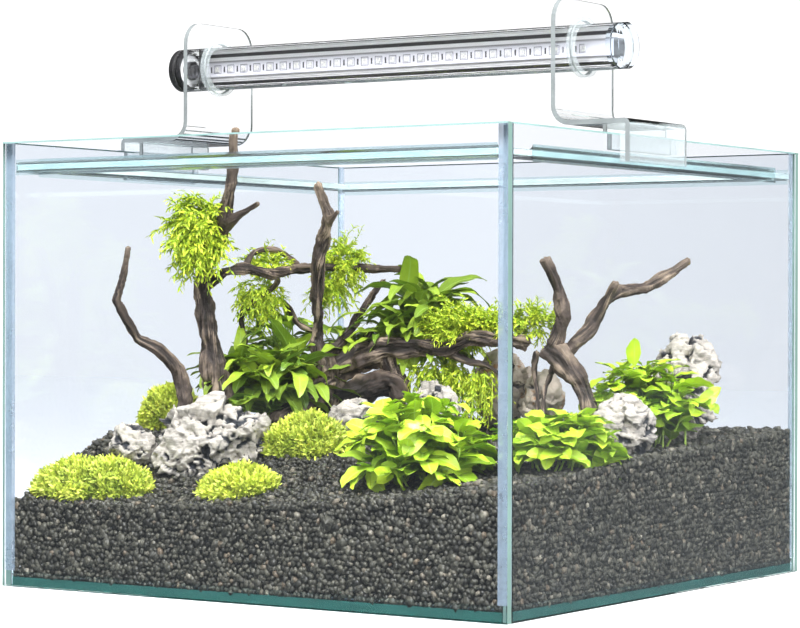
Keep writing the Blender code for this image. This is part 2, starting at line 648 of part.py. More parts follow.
def build_holder(side, sign, holder_axis, liner_axis):
    half = HOLDER_WIDTH / 2
    low_y, high_y = HOLDER_Y - half, HOLDER_Y + half
    spot = Vector((sign * PLATE_MIDDLE, HOLDER_Y, TONGUE_TOP))
    outline = [(sign * x, z) for x, z in sheet_outline()]
    holder = add_object(f"holder_{side}", prism_mesh(outline, "Y", low_y - 0.01, high_y + 0.01),
                        "acrylic", origin=spot, parent=holder_axis)
    reach = sorted((sign * (PLATE_INNER - 0.02), sign * (FLANGE_OUTER + 0.02)))
    shape = add_object(f"holder_{side}_shape", prism_mesh(rounded_plate(), "X", *reach), None,
                       parent=holder_axis)
    add_boolean(holder, hide_cutter(shape), 'INTERSECT')
    ends = sorted((sign * (PLATE_INNER - 0.01), sign * (PLATE_OUTER + 0.01)))
    hole = add_object(f"holder_{side}_hole", disc_mesh(*ends, HOLE_RADIUS, LAMP_AXIS), None,
                      parent=holder_axis)
    add_boolean(holder, hide_cutter(hole))
    smooth_shade(holder)

    lip_foot = TANK_HEIGHT - INNER_LIP_DROP
    lip = [(LIP_INNER, lip_foot), (LIP_OUTER, lip_foot),
           (LIP_OUTER, TONGUE_BOTTOM - TOUCH_GAP), (LIP_INNER, TONGUE_BOTTOM - TOUCH_GAP)]
    add_arris(add_object(f"inner_lip_{side}",
                         prism_mesh([(sign * x, z) for x, z in lip], "Y", low_y, high_y),
                         "acrylic", parent=holder_axis))

    inner = LIP_OUTER + TOUCH_GAP
    outer = FLANGE_INNER - TOUCH_GAP
    roof = TONGUE_BOTTOM - TOUCH_GAP
    seat = TANK_HEIGHT + TOUCH_GAP
    liner = [(inner, lip_foot), (INNER_X - TOUCH_GAP, lip_foot), (INNER_X - TOUCH_GAP, seat),
             (HALF_LENGTH + TOUCH_GAP, seat),
             (HALF_LENGTH + TOUCH_GAP, TANK_HEIGHT - OUTER_FLANGE_DROP),
             (outer, TANK_HEIGHT - OUTER_FLANGE_DROP), (outer, roof), (inner, roof)]
    add_object(f"saddle_liner_{side}",
               prism_mesh([(sign * x, z) for x, z in liner], "Y", low_y, high_y),
               "soft_clear", parent=liner_axis)

    groove = PLATE_OUTER - PLATE_INNER + 2 * TOUCH_GAP
    edge = groove / 2 + BUSH_FLANGE_THICK
    web = HOLE_RADIUS - TOUCH_GAP
    wide = HOLE_RADIUS + BUSH_FLANGE
    profile = [(-edge, BUSH_BORE), (edge, BUSH_BORE), (edge, wide), (groove / 2, wide),
               (groove / 2, web), (-groove / 2, web), (-groove / 2, wide), (-edge, wide)]
    centre = Vector((sign * PLATE_MIDDLE, LAMP_AXIS.y, LAMP_AXIS.z))
    smooth_shade(add_object(f"tube_bush_{side}", turned_mesh(profile, centre), "soft_clear",
                            parent=holder_axis))


def reflector_outline():
    """Section of the reflector as (y, z): a part-round back with a flat seat for the board."""
    outer = TUBE_BORE - TOUCH_GAP
    inner = outer - REFLECTOR_SHEET
    seat_turn = math.acos(REFLECTOR_SEAT / inner)
    centre = (LAMP_AXIS.y, LAMP_AXIS.z)
    back = arc_points(centre, outer, REFLECTOR_SPREAD, -REFLECTOR_SPREAD, 16)
    lower = arc_points(centre, inner, -REFLECTOR_SPREAD, -seat_turn, 5)
    upper = arc_points(centre, inner, seat_turn, REFLECTOR_SPREAD, 5)
    return back + lower + upper


def build_lamp(lamp_axis):
    half = LAMP_LENGTH / 2
    tube = [(-TUBE_HALF, TUBE_BORE), (TUBE_HALF, TUBE_BORE), (TUBE_HALF, TUBE_RADIUS),
            (-TUBE_HALF, TUBE_RADIUS)]
    smooth_shade(add_object("lamp_tube", turned_mesh(tube, LAMP_AXIS), "acrylic",
                            origin=LAMP_AXIS, parent=lamp_axis))

    start = -half + REFLECTOR_INSET_LEFT
    end = TUBE_HALF - REFLECTOR_INSET_RIGHT
    reflector = add_object("lamp_reflector", prism_mesh(reflector_outline(), "X", start, end),
                           "chrome", parent=lamp_axis)
    smooth_shade(reflector)
    bulkhead = disc_mesh(start - TOUCH_GAP - BULKHEAD_THICK, start - TOUCH_GAP,
                         TUBE_BORE - TOUCH_GAP, LAMP_AXIS, 32)
    smooth_shade(add_object("reflector_bulkhead", bulkhead, "black_cap", parent=lamp_axis))

    board_back = LAMP_AXIS.y + REFLECTOR_SEAT - TOUCH_GAP
    board_front = board_back - BOARD_THICK
    board = add_object("led_board",
                       box_mesh((start, board_front, LAMP_Z - BOARD_WIDTH / 2),
                                (end, board_back, LAMP_Z + BOARD_WIDTH / 2)),
                       "board_white", parent=lamp_axis)
    chips = bmesh.new()
    count = int((end - start) / CHIP_PITCH) - 1
    for number in range(count):
        middle = start + CHIP_PITCH * (number + FIRST_CHIP)
        low = Vector((middle - CHIP_SIZE / 2, board_front - CHIP_RISE, LAMP_Z - CHIP_SIZE / 2))
        corners = bmesh.ops.create_cube(chips, size=1.0)["verts"]
        reach = Vector((CHIP_SIZE, CHIP_RISE + BOARD_THICK / 2, CHIP_SIZE))
        for vert in corners:
            vert.co = Vector(l + (c + 0.5) * r for c, l, r in zip(vert.co, low, reach))
    chip_set = hide_cutter(add_object("led_chips", chips, None, parent=lamp_axis))
    add_boolean(board, chip_set, 'UNION')

    neck = TUBE_BORE - TOUCH_GAP
    for side, sign, finish, gasket, depth, hub in (
            ("left", -1, "black_cap", GASKET_THICK, CAP_NECK_LEFT, INLET_DIAMETER / 2),
            ("right", 1, "acrylic", 0.0, CAP_NECK_RIGHT, 0.0)):
        shoulder = TUBE_HALF + TOUCH_GAP + gasket
        outline = [(TUBE_HALF - depth, hub), (TUBE_HALF - depth, neck), (shoulder, neck),
                   (shoulder, TUBE_RADIUS), (half - CAP_ROUND, TUBE_RADIUS),
                   (half, TUBE_RADIUS - CAP_ROUND), (half, hub)]
        cap = add_object(f"end_cap_{side}",
                         turned_mesh([(sign * x, r) for x, r in outline], LAMP_AXIS, 32), finish,
                         parent=lamp_axis)
        smooth_shade(cap)
    gasket = [(-TUBE_HALF - TOUCH_GAP, neck + TOUCH_GAP), (-TUBE_HALF - TOUCH_GAP, TUBE_RADIUS),
              (-TUBE_HALF - GASKET_THICK, TUBE_RADIUS),
              (-TUBE_HALF - GASKET_THICK, neck + TOUCH_GAP)]
    smooth_shade(add_object("cap_gasket_left", turned_mesh(gasket, LAMP_AXIS, 32),
                            "black_rubber", parent=lamp_axis))
    socket = disc_mesh(-half + INLET_RECESS, -half + INLET_RECESS + INLET_LENGTH,
                       INLET_DIAMETER / 2 - TOUCH_GAP, LAMP_AXIS, 20)
    smooth_shade(add_object("power_inlet", socket, "black_cap", parent=lamp_axis))


def build_lighting():
    liners, holders = {}, {}
    for side, sign in (("left", -1), ("right", 1)):
        liners[side] = add_axis(f"liner_axis_{side}", (sign * HALF_LENGTH, HOLDER_Y, TANK_HEIGHT))
        holders[side] = add_axis(f"holder_axis_{side}",
                                 (sign * HALF_LENGTH, HOLDER_Y, TANK_HEIGHT))
        build_holder(side, sign, holders[side], liners[side])
    build_lamp(add_axis("lamp_axis", LAMP_AXIS))


clear_scene()
tank_frame = add_axis("tank_frame", (0, 0, 0))
build_panes(tank_frame)
build_corner_seals(tank_frame)
build_floor_seal(tank_frame)
build_braces(tank_frame)
build_scape(tank_frame)
build_lighting()
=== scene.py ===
"""Looks for a rimless planted aquarium with a tube lamp on two clip-on clear holders.

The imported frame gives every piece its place, in metres, +Z up.  Silicone and most lamp parts
keep their frame shapes and get finishes.  Panes, strips and holders are the same shapes with
clear faces and dense cut edges.  Gravel, stones, driftwood, moss and leaves are built in full
detail where their plain solids stand.
"""
import json
import math
from itertools import product

import bpy
import numpy as np
from mathutils import Matrix, Vector
from mathutils.bvhtree import BVHTree


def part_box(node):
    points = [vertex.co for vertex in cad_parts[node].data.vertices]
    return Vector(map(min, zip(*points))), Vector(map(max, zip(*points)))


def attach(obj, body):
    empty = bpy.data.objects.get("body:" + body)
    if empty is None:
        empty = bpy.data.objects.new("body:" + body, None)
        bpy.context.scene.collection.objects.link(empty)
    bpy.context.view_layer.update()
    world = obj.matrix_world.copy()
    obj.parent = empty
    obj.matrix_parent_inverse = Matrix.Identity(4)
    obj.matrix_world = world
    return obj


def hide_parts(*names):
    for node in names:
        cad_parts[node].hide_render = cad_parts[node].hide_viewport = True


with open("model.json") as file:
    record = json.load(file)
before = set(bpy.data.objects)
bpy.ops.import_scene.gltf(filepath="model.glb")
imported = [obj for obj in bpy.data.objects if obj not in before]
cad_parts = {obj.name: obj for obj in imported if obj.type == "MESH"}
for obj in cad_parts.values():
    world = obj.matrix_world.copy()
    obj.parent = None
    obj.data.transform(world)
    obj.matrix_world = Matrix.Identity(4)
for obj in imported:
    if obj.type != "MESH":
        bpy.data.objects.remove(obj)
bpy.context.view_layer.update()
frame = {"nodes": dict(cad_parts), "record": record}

bl_info = {
    "name": "Planted Aquarium Looks",
    "version": (1, 0, 0),
    "blender": (4, 5, 0),
    "location": "View3D > Sidebar > Aquarium",
    "description": "Finishes, gravel, stones, driftwood and plants for the planted aquarium",
    "category": "Object",
}

# Each sheet of glass with the axis across its thickness.
PANE_AXES = {
    "front_pane": "Y", "back_pane": "Y", "left_pane": "X", "right_pane": "X",
    "bottom_pane": "Z", "front_brace": "Z", "back_brace": "Z", "left_brace": "Z",
    "right_brace": "Z",
}
# Each wall's side, the axis across it and which end of that axis it stands at.
WALLS = (("front", 1, -1), ("back", 1, 1), ("left", 0, -1), ("right", 0, 1))
GREY_ROCKS = ("rock_left_large", "rock_left_small", "rock_centre", "rock_middle", "rock_right",
              "rock_back_slab")
BROWN_ROCKS = ("brown_stone_left", "brown_stone_right")
MOSS_CUSHIONS = ("moss_back_left", "moss_front_left", "moss_front_middle", "moss_centre")

# The gravel solid stops BED_GAP short of the glass, and the planting at GLASS_CLEARANCE.
BED_GAP = 0.0003
GLASS_CLEARANCE = 0.0004
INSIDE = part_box("gravel_bed")[1][0] + BED_GAP - GLASS_CLEARANCE
FLOOR_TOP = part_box("gravel_bed")[0][2]

# Limbs as (x, y, z, radius) points in millimetres, as the driftwood solids are laid out.
LIMBS = {
    "left_twig": [
        [(-208, -113, 130, 10), (-208, -114, 185, 9.5), (-214, -119, 217, 8.5),
         (-224, -138, 238, 7.5), (-243, -151, 250, 6.5), (-245, -165, 267, 6),
         (-250, -177, 290, 5.5), (-242, -174, 316, 5), (-233, -178, 345, 4.2)],
    ],
    "left_trunk": [
        [(-189, -76, 125, 17), (-190, -78, 185, 16), (-197, -83, 238, 15), (-204, -88, 290, 13.5),
         (-203, -89, 322, 12.5), (-172, -99, 364, 10), (-151, -111, 405, 8),
         (-144, -115, 440, 6.5), (-142, -118, 468, 5)],
        [(-180, -97, 352, 5.5), (-157, -104, 372, 6), (-120, -104, 391, 4.2)],
        [(-205, -86, 300, 7.5), (-176, -88, 320, 8), (-157, -74, 324, 8), (-150, -40, 318, 7.5),
         (-152, 6, 323, 7), (-132, 52, 327, 6.5), (-102, 99, 325, 5.5), (-74, 119, 325, 4.5)],
    ],
    "centre_trunk": [
        [(-118, 27, 140, 22), (-119, 27, 178, 20), (-124, 24, 215, 16.5), (-131, 18, 250, 12.5),
         (-122, 6, 291, 11.5), (-116, -3, 325, 12), (-106, -6, 357, 11.5), (-94, -14, 382, 10),
         (-103, -21, 413, 6.5)],
        [(-100, -12, 368, 5.5), (-74, -25, 384, 3.2)],
        [(-120, 28, 235, 9), (-113, 56, 262, 9), (-104, 75, 292, 8), (-90, 85, 312, 6)],
        [(-118, 30, 205, 14), (-121, -16, 184, 12), (-131, -56, 166, 9.5)],
    ],
    "long_branch": [
        [(-88, 40, 226, 15), (-60, 43, 238, 14.5), (-20, 41, 242, 12), (23, 39, 240, 10.5),
         (55, 38, 252, 10), (82, 40, 250, 10.5), (110, 43, 246, 11)],
        [(-60, 44, 236, 12), (-46, 46, 205, 11.5), (-40, 48, 168, 10.5), (-38, 49, 140, 10)],
    ],
    "right_root": [
        [(134, 42, 240, 12), (152, 42, 230, 12.5), (172, 42, 209, 10.5), (181, 48, 179, 9),
         (185, 51, 125, 8.5)],
        [(140, 42, 240, 9), (154, 42, 274, 8.5), (150, 40, 301, 7.5), (146, 28, 322, 6.8),
         (142, 24, 333, 6.2)],
        [(150, 52, 236, 9), (160, 83, 258, 8.5), (165, 109, 289, 8), (172, 126, 301, 7.8),
         (189, 150, 303, 7.2), (205, 172, 318, 6.4), (219, 193, 333, 5)],
        [(161, 88, 259, 5.8), (177, 92, 291, 5.5), (189, 89, 309, 4)],
    ],
}
# Thin twigs, and the thick limbs that join the centre trunk to the long branch.
TWIGS = [
    [(-130, 21, 196, 16), (-116, 31, 216, 15.5), (-98, 43, 228, 15), (-74, 48, 235, 13.5)],
    [(-123, 26, 181, 14), (-97, 31, 190, 15), (-68, 38, 199, 14), (-45, 42, 202, 12),
     (-41, 44, 175, 10)],
    [(-198, -24, 240, 4.5), (-198, -30, 271, 4.2), (-189, -30, 284, 4), (-176, -21, 296, 4.2),
     (-158, -20, 308, 3.5), (-152, -30, 319, 3.2)],
    [(-172, -60, 321, 4), (-180, -31, 341, 3.4), (-168, -6, 344, 3.4), (-156, 18, 328, 4)],
    [(-131, 22, 255, 3.6), (-161, 24, 265, 3.4), (-171, 18, 284, 3.4), (-184, 9, 291, 3),
     (-196, -20, 272, 2.8)],
    [(-100, 42, 222, 9.5), (-93, 52, 242, 8.5), (-89, 61, 258, 7)],
    [(121, 44, 239, 4.6), (119, 43, 219, 3.4), (127, 36, 192, 3), (126, 35, 160, 2.8)],
    [(145, 45, 233, 4.6), (137, 43, 211, 3.6), (137, 31, 192, 3), (138, 31, 160, 2.8)],
    [(18, 39, 238, 5), (46, 42, 227, 4), (68, 45, 222, 3.4), (84, 55, 207, 2.8)],
]
# How far the carved limbs above the gravel are drawn in towards their middle, as a share.
SLIMMED = {"centre_trunk": 0.34, "left_trunk": 0.14, "long_branch": 0.12}

# Moss hung on the wood: stems, reach, droop, leaf length and width, pairs of leaves, lean.
MOSS_HANGINGS = {
    "moss_left_trunk": (250, 0.021, 0.55, 0.0085, 0.0024, 8, (-0.55, -0.30, -0.25)),
    "moss_long_branch": (260, 0.017, 0.10, 0.0055, 0.0017, 8, (0, 0, 0.1)),
    "moss_centre_trunk": (150, 0.018, 0.30, 0.0060, 0.0018, 8, (0, 0, 0)),
}
# Loose tufts along the wood: centre, half size, stems, reach, droop.
MOSS_TUFTS = (
    ((-0.177, -0.012, 0.331), (0.024, 0.024, 0.008), 80, 0.012, 0.3),
    ((-0.184, -0.016, 0.297), (0.022, 0.022, 0.018), 110, 0.014, 0.9),
    ((-0.143, 0.058, 0.306), (0.015, 0.015, 0.014), 60, 0.013, 0.9),
    ((0.014, 0.055, 0.259), (0.036, 0.012, 0.009), 110, 0.013, 0.2),
    ((0.065, 0.055, 0.266), (0.036, 0.012, 0.010), 120, 0.014, 0.1),
    ((0.112, 0.060, 0.268), (0.024, 0.012, 0.010), 80, 0.014, 0.1),
    ((0.003, 0.052, 0.218), (0.036, 0.010, 0.012), 90, 0.018, 1.4),
    ((0.045, 0.052, 0.210), (0.030, 0.010, 0.012), 80, 0.018, 1.4),
)
# Broad-leaved plants: stems, leaves on each, leaf length and width.
BROAD_PLANTS = {"leaves_front_right": (38, 9, 0.040, 0.0215),
                "leaves_corner_right": (30, 8, 0.036, 0.0195),
                "leaves_back_right": (26, 9, 0.038, 0.0205)}
# Strap-leaved plants: leaves, leaf length and width, arch, spread through the plant's box.
STRAP_PLANTS = {"leaves_long_centre": (105, 0.060, 0.0180, 1.9, 0.60),
                "leaves_middle_left": (230, 0.050, 0.0185, 1.4, 0.85)}
# Bunches of strap leaves among the wood: centre, half size, leaves, leaf length and width.
LEAF_BUNCHES = (
    ((-0.181, 0.024, 0.258), (0.025, 0.025, 0.030), 50, 0.040, 0.0105),
    ((-0.128, 0.062, 0.250), (0.022, 0.020, 0.028), 45, 0.040, 0.0110),
    ((-0.062, 0.066, 0.262), (0.022, 0.016, 0.018), 45, 0.042, 0.0130),
    ((-0.196, -0.040, 0.222), (0.018, 0.018, 0.024), 40, 0.036, 0.0120),
)


# ---- settings --------------------------------------------------------------------------
def colour_setting(name, description, default):
    return bpy.props.FloatVectorProperty(name=name, description=description, default=default,
                                         subtype='COLOR', size=3, min=0.0, max=1.0)


class GlassSettings(bpy.types.PropertyGroup):
    """Colours of the clear parts."""
    face: colour_setting("Face", "Tint seen through one pane", (0.910, 0.941, 0.985))
    edge: colour_setting("Cut edge", "Colour of a ground wall edge", (0.13, 0.215, 0.19))
    floor: colour_setting("Floor edge", "Colour of the floor pane's edge", (0.016, 0.095, 0.078))
    rim: colour_setting("Strip edge", "Colour of a brace strip's edge", (0.50, 0.60, 0.59))
    silicone: colour_setting("Silicone", "Colour of the clear silicone", (0.80, 0.90, 0.91))
    acrylic: colour_setting("Acrylic", "Tint of the clear holders and tube", (0.975, 0.985, 0.99))


class GravelSettings(bpy.types.PropertyGroup):
    """Size and colours of the gravel."""
    length: bpy.props.FloatProperty(name="Pebble length", default=0.0077, unit='LENGTH',
                                    description="Length of a middling pebble")
    spacing: bpy.props.FloatProperty(name="Spacing", default=0.0053, unit='LENGTH',
                                     description="Distance between pebbles that show")
    dark: colour_setting("Dark", "Colour of most pebbles", (0.020, 0.019, 0.014))
    middle: colour_setting("Middle", "Colour of the lighter pebbles", (0.120, 0.112, 0.080))
    pale: colour_setting("Pale", "Colour of the few pale pebbles", (0.29, 0.265, 0.20))


class ScapeSettings(bpy.types.PropertyGroup):
    """Colours of stone, wood and plants."""
    rock: colour_setting("Rock", "Weathered face of the grey stones", (0.58, 0.52, 0.44))
    # Crevice is the painted shade in the pits, cracks and under the ledges of the stones.
    crevice_shade: colour_setting("Crevice", "Pits and cracks in the stones", (0.030, 0.032, 0.038))
    brown: colour_setting("Brown stone", "Face of the smooth brown stones", (0.52, 0.45, 0.35))
    wood: colour_setting("Wood", "Dark grain of the driftwood", (0.024, 0.017, 0.013))
    wood_pale: colour_setting("Worn wood", "Worn ridges of the wood", (0.38, 0.285, 0.20))
    # Moss is the lit tip tone; the moss shade is painted shade at leaf bases and in the cushion
    # core.
    moss: colour_setting("Moss", "Lit tips of the cushions", (0.80, 0.92, 0.12))
    moss_deep: colour_setting("Moss shade", "Deep parts of the cushions", (0.19, 0.29, 0.02))
    # Leaf is the tone of young, lit upper leaves; the leaf shade is older leaves and painted
    # shade on lower leaves and moss bases.
    leaf: colour_setting("Leaf", "Young broad leaves", (0.62, 0.80, 0.04))
    leaf_old_and_shade: colour_setting("Leaf shade", "Old and lower leaves", (0.20, 0.37, 0.014))


class StageSettings(bpy.types.PropertyGroup):
    """Light and floor."""
    key_power: bpy.props.FloatProperty(name="Key power", default=78.0, unit='POWER',
                                       description="Power of the large lamp above the tank")
    surround: bpy.props.FloatProperty(name="Surround", default=1.2, min=0.0,
                                      description="Brightness of the white surround")
    backdrop: bpy.props.FloatProperty(name="Backdrop", default=1.23, min=0.0,
                                      description="Brightness of the surround seen directly")
    mirrored: bpy.props.FloatProperty(name="Mirrored surround", default=0.11, min=0.0,
                                      description="Brightness of the surround in reflections")


def settings(name):
    return getattr(bpy.context.scene, "aquarium_" + name)


# ---- node helpers ----------------------------------------------------------------------
NOISE_RANGE = (0.3, 0.7)    # where nearly all of a noise's values lie


def feed(tree, node, **inputs):
    """Sets a node's inputs, by name or _number, to values, opaque colours or linked sockets."""
    for key, value in inputs.items():
        socket = node.inputs[int(key[1:]) if key[0] == "_" else key.replace("_", " ")]
        if isinstance(value, bpy.types.NodeSocket):
            tree.links.new(value, socket)
        else:
            socket.default_value = (*value, 1.0) if socket.type == 'RGBA' else value


def add_node(tree, kind, settings_of=None, **inputs):
    node = tree.nodes.new(kind)
    for key, value in (settings_of or {}).items():
        setattr(node, key, value)
    feed(tree, node, **inputs)
    return node


def maths(tree, operation, first, second=0.0, clamp=False):
    return add_node(tree, "ShaderNodeMath", {"operation": operation, "use_clamp": clamp},
                    _0=first, _1=second).outputs[0]


def times(tree, first, second):
    return maths(tree, 'MULTIPLY', first, second)


def less(tree, first, second):
    return maths(tree, 'SUBTRACT', first, second)


def span(tree, value, low, high, to_low=0.0, to_high=1.0):
    """A value brought from one range to another, held at both ends."""
    return add_node(tree, "ShaderNodeMapRange", None, Value=value, From_Min=low, From_Max=high,
                    To_Min=to_low, To_Max=to_high).outputs["Result"]


def mix_colour(tree, share, first, second):
    return add_node(tree, "ShaderNodeMix", {"data_type": 'RGBA'}, _0=share, _6=first,
                    _7=second).outputs[2]


def noise(tree, place, scale, detail=4.0, rough=0.55, warp=0.0):
    return add_node(tree, "ShaderNodeTexNoise", None, Vector=place, Scale=scale, Detail=detail,
                    Roughness=rough, Distortion=warp).outputs["Fac"]


def bump(tree, height, strength, distance):
    return add_node(tree, "ShaderNodeBump", None, Strength=strength, Distance=distance,
                    Height=height).outputs["Normal"]


def object_place(tree):
    return tree.nodes.new("ShaderNodeTexCoord").outputs["Object"]


def ramp(tree, value, stops, interpolation='LINEAR'):
    """A colour that steps through (place, colour) stops."""
    node = add_node(tree, "ShaderNodeValToRGB", None, Fac=value)
    node.color_ramp.interpolation = interpolation
    elements = node.color_ramp.elements
    for element, (place, colour) in zip(elements, (stops[0], stops[-1])):
        element.position, element.color = place, (*colour, 1.0)
    for place, colour in stops[1:-1]:
        elements.new(place).color = (*colour, 1.0)
    return node.outputs["Color"]


def new_group(name, inputs, outputs):
    """A node group with number inputs, given as a default for each name, and outputs."""
    tree = bpy.data.node_groups.new(name, "ShaderNodeTree")
    for label, default in inputs.items():
        tree.interface.new_socket(name=label, in_out='INPUT',
                                  socket_type="NodeSocketFloat").default_value = default
    for label in outputs:
        tree.interface.new_socket(name=label, in_out='OUTPUT', socket_type="NodeSocketFloat")
    given, out = (tree.nodes.new("NodeGroup" + end) for end in ("Input", "Output"))
    return tree, given.outputs, out.inputs


def mottle_group():
    """Slow and fine variation on a surface: one mask for colour and one height for bump."""
    tree, given, out = new_group("mottle", {"Slow Scale": 12.0, "Fine Scale": 120.0,
                                            "Warp": 0.3}, ("Mask", "Height"))
    place = object_place(tree)
    slow = noise(tree, place, given["Slow Scale"], warp=given["Warp"])
    fine = noise(tree, place, given["Fine Scale"], 6.0, 0.65)
    tree.links.new(span(tree, slow, *NOISE_RANGE), out["Mask"])
    tree.links.new(maths(tree, 'ADD', times(tree, slow, 0.4), times(tree, fine, 0.6)),
                   out["Height"])


def new_material(name):
    material = bpy.data.materials.new(name)
    material.use_nodes = True
    tree = material.node_tree
    return material, tree, tree.nodes["Principled BSDF"]


def mottled(name, slow, fine, warp, rough=None):
    """A material with a mottle placed in it, and its roughness following the mottle."""
    material, tree, shader = new_material(name)
    mottle = add_node(tree, "ShaderNodeGroup", {"node_tree": bpy.data.node_groups["mottle"]},
                      Slow_Scale=slow, Fine_Scale=fine, Warp=warp).outputs
    if rough:
        feed(tree, shader, Roughness=span(tree, mottle["Height"], *NOISE_RANGE, *rough))
    return material, tree, shader, mottle


def two_toned(name, slow, fine, warp, rough, first, second, relief=None, **more):
    """A mottled material between two colours, with a relief given as (strength, depth)."""
    material, tree, shader, mottle = mottled(name, slow, fine, warp, rough)
    feed(tree, shader, Base_Color=mix_colour(tree, mottle["Mask"], first, second), **more)
    if relief:
        feed(tree, shader, Normal=bump(tree, mottle["Height"], *relief))
    return material


def toned(colour, *gains):
    """A colour made lighter or darker, by one gain or by one for each channel."""
    return tuple(min(1.0, c * gain) for c, gain in zip(colour, gains * (3 // len(gains))))


def mirrored_share(path):
    """1 on rays that a pane or a lamp part has reflected and nothing has scattered."""
    tree = path["Glossy Depth"].id_data
    return times(tree, maths(tree, 'GREATER_THAN', path["Glossy Depth"], 0.5),
                 maths(tree, 'LESS_THAN', path["Diffuse Depth"], 0.5))


def let_lamps_through(tree, shader):
    """Shadow rays pass straight through, so lamps light what is behind the glass."""
    path = tree.nodes.new("ShaderNodeLightPath").outputs["Is Shadow Ray"]
    clear = add_node(tree, "ShaderNodeBsdfTransparent", None, Color=(1.0, 1.0, 1.0)).outputs[0]
    mixed = add_node(tree, "ShaderNodeMixShader", None, _0=path, _1=shader.outputs[0], _2=clear)
    tree.links.new(mixed.outputs[0], tree.nodes["Material Output"].inputs["Surface"])


BODY_OF = {node: body for body, nodes in frame["record"]["behaviour"]["bodies"].items()
           for node in nodes}


def finish_node(node, material):
    """Puts one material on a frame node that keeps its shape."""
    slots = frame["nodes"][node].data.materials
    slots.clear()
    slots.append(material)


# ---- shape helpers ---------------------------------------------------------------------
NOISE_ORIGIN = 4096.0
OFF_AXIS = (0.31, 0.17, 0.93)


def lattice(cells, seed):
    """A repeatable number from -1 to 1 for each whole-number point."""
    whole = np.uint64
    x, y, z = (cells[..., k].astype(whole) for k in range(3))
    mixed = (x * whole(374761393) + y * whole(668265263) + z * whole(2147483647)
             + whole(seed * 1274126177)) & whole(0xFFFFFFFF)
    for shift, factor in ((13, 1274126177), (15, 2246822519)):
        mixed = ((mixed ^ (mixed >> whole(shift))) * whole(factor)) & whole(0xFFFFFFFF)
    return ((mixed ^ (mixed >> whole(16))) & whole(0xFFFF)).astype(float) / 32767.5 - 1


def lattice_vectors(cells, seed):
    return np.stack([lattice(cells, seed + k) for k in range(3)], 1)


def cells_of(points, size):
    """Each point in units of one cell, and the whole-number corner of its cell."""
    spot = np.asarray(points) / size + NOISE_ORIGIN
    return spot, np.floor(spot).astype(np.int64)


def smooth_noise(points, size, seed):
    spot, cell = cells_of(points, size)
    part = spot - cell
    part = part * part * part * (part * (part * 6 - 15) + 10)
    total = np.zeros(len(spot))
    for corner in product((0, 1), repeat=3):
        corner = np.array(corner)
        weight = np.prod(np.where(corner, part, 1 - part), axis=1)
        total += weight * lattice(cell + corner, seed)
    return total


def layered_noise(points, size, seed, layers=4, fade=0.5):
    total, strength = 0.0, 1.0
    for layer in range(layers):
        total = total + strength * smooth_noise(points, size / 2 ** layer, seed + layer)
        strength *= fade
    return total


def cell_planes(points, size, seed, slope):
    """Chipped flats: each scattered cell leans its own way; returns height and edge closeness."""
    spot, cell = cells_of(points, size)
    nearest, second = np.full((2, len(spot)), np.inf)
    height = np.zeros(len(spot))
    for offset in product((-1, 0, 1), repeat=3):
        home = cell + np.array(offset)
        away = spot - (home + 0.5 + 0.45 * lattice_vectors(home, seed))
        far = np.linalg.norm(away, axis=1)
        lean = (away * lattice_vectors(home, seed + 5)).sum(axis=1)
        level = slope * lean + 0.6 * slope * lattice(home, seed + 9)
        closer = far < nearest
        second = np.where(closer, nearest, np.minimum(second, far))
        height = np.where(closer, level, height)
        nearest = np.where(closer, far, nearest)
    return height, np.clip(1 - (second - nearest) / 0.10, 0, 1)


def unit(vectors):
    vectors = np.asarray(vectors, float)
    return vectors / np.maximum(np.linalg.norm(vectors, axis=-1, keepdims=True), 1e-9)


def link(thing):
    bpy.context.scene.collection.objects.link(thing)
    return thing


def box_arrays(node):
    """A node's lowest corner, highest corner, centre and half size."""
    low, high = (np.array(corner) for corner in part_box(node))
    return low, high, (low + high) / 2, (high - low) / 2


def sides_of(way):
    """Two directions square to each way and to each other."""
    side = unit(np.cross(way, OFF_AXIS))
    return side, np.cross(side, way)


def tube_faces(count, rings, sides):
    """Quads round count open tubes, whose points run ring by ring."""
    index = np.arange(count * rings * sides).reshape(count, rings, sides)
    after = np.roll(index, -1, axis=2)
    return np.stack([index[:, :-1], after[:, :-1], after[:, 1:], index[:, 1:]],
                    axis=-1).reshape(-1, 4)


def joined(parts):
    """Several sets of points, faces and tints as one."""
    starts = np.cumsum([0] + [len(points) for points, _, _ in parts])
    points, faces, tints = zip(*parts)
    return (np.vstack(points), np.vstack([f + start for f, start in zip(faces, starts)]),
            np.vstack(tints))


def add_piece(name, verts, faces, material, replaces=(), tint=None, smooth=True,
              body="tank"):
    """A mesh piece from arrays that rides on a body; faces are rows of one length."""
    verts, faces = np.asarray(verts, np.float32), np.asarray(faces, np.int32)
    mesh = bpy.data.meshes.new(name)
    sides = faces.shape[1]
    mesh.vertices.add(len(verts))
    mesh.vertices.foreach_set("co", verts.ravel())
    mesh.loops.add(faces.size)
    mesh.loops.foreach_set("vertex_index", faces.ravel())
    mesh.polygons.add(len(faces))
    mesh.polygons.foreach_set("loop_start", np.arange(len(faces), dtype=np.int32) * sides)
    mesh.update(calc_edges=True)
    mesh.validate()
    mesh.polygons.foreach_set("use_smooth", np.full(len(mesh.polygons), smooth))
    if tint is not None:
        write_tint(mesh, tint)
    mesh.materials.append(material)
    piece = link(bpy.data.objects.new(name, mesh))
    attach(piece, body)
    if replaces:
        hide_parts(*replaces)
    return piece


def add_scape(name, arrays, material, replaces=()):
    """A piece of the scape, which is held clear of the glass as real leaves and pebbles are."""
    verts, faces, tint = arrays
    for k in (0, 1):
        verts[..., k] = np.clip(verts[..., k], -INSIDE, INSIDE)
    return add_piece(name, verts, faces, material, replaces, tint)


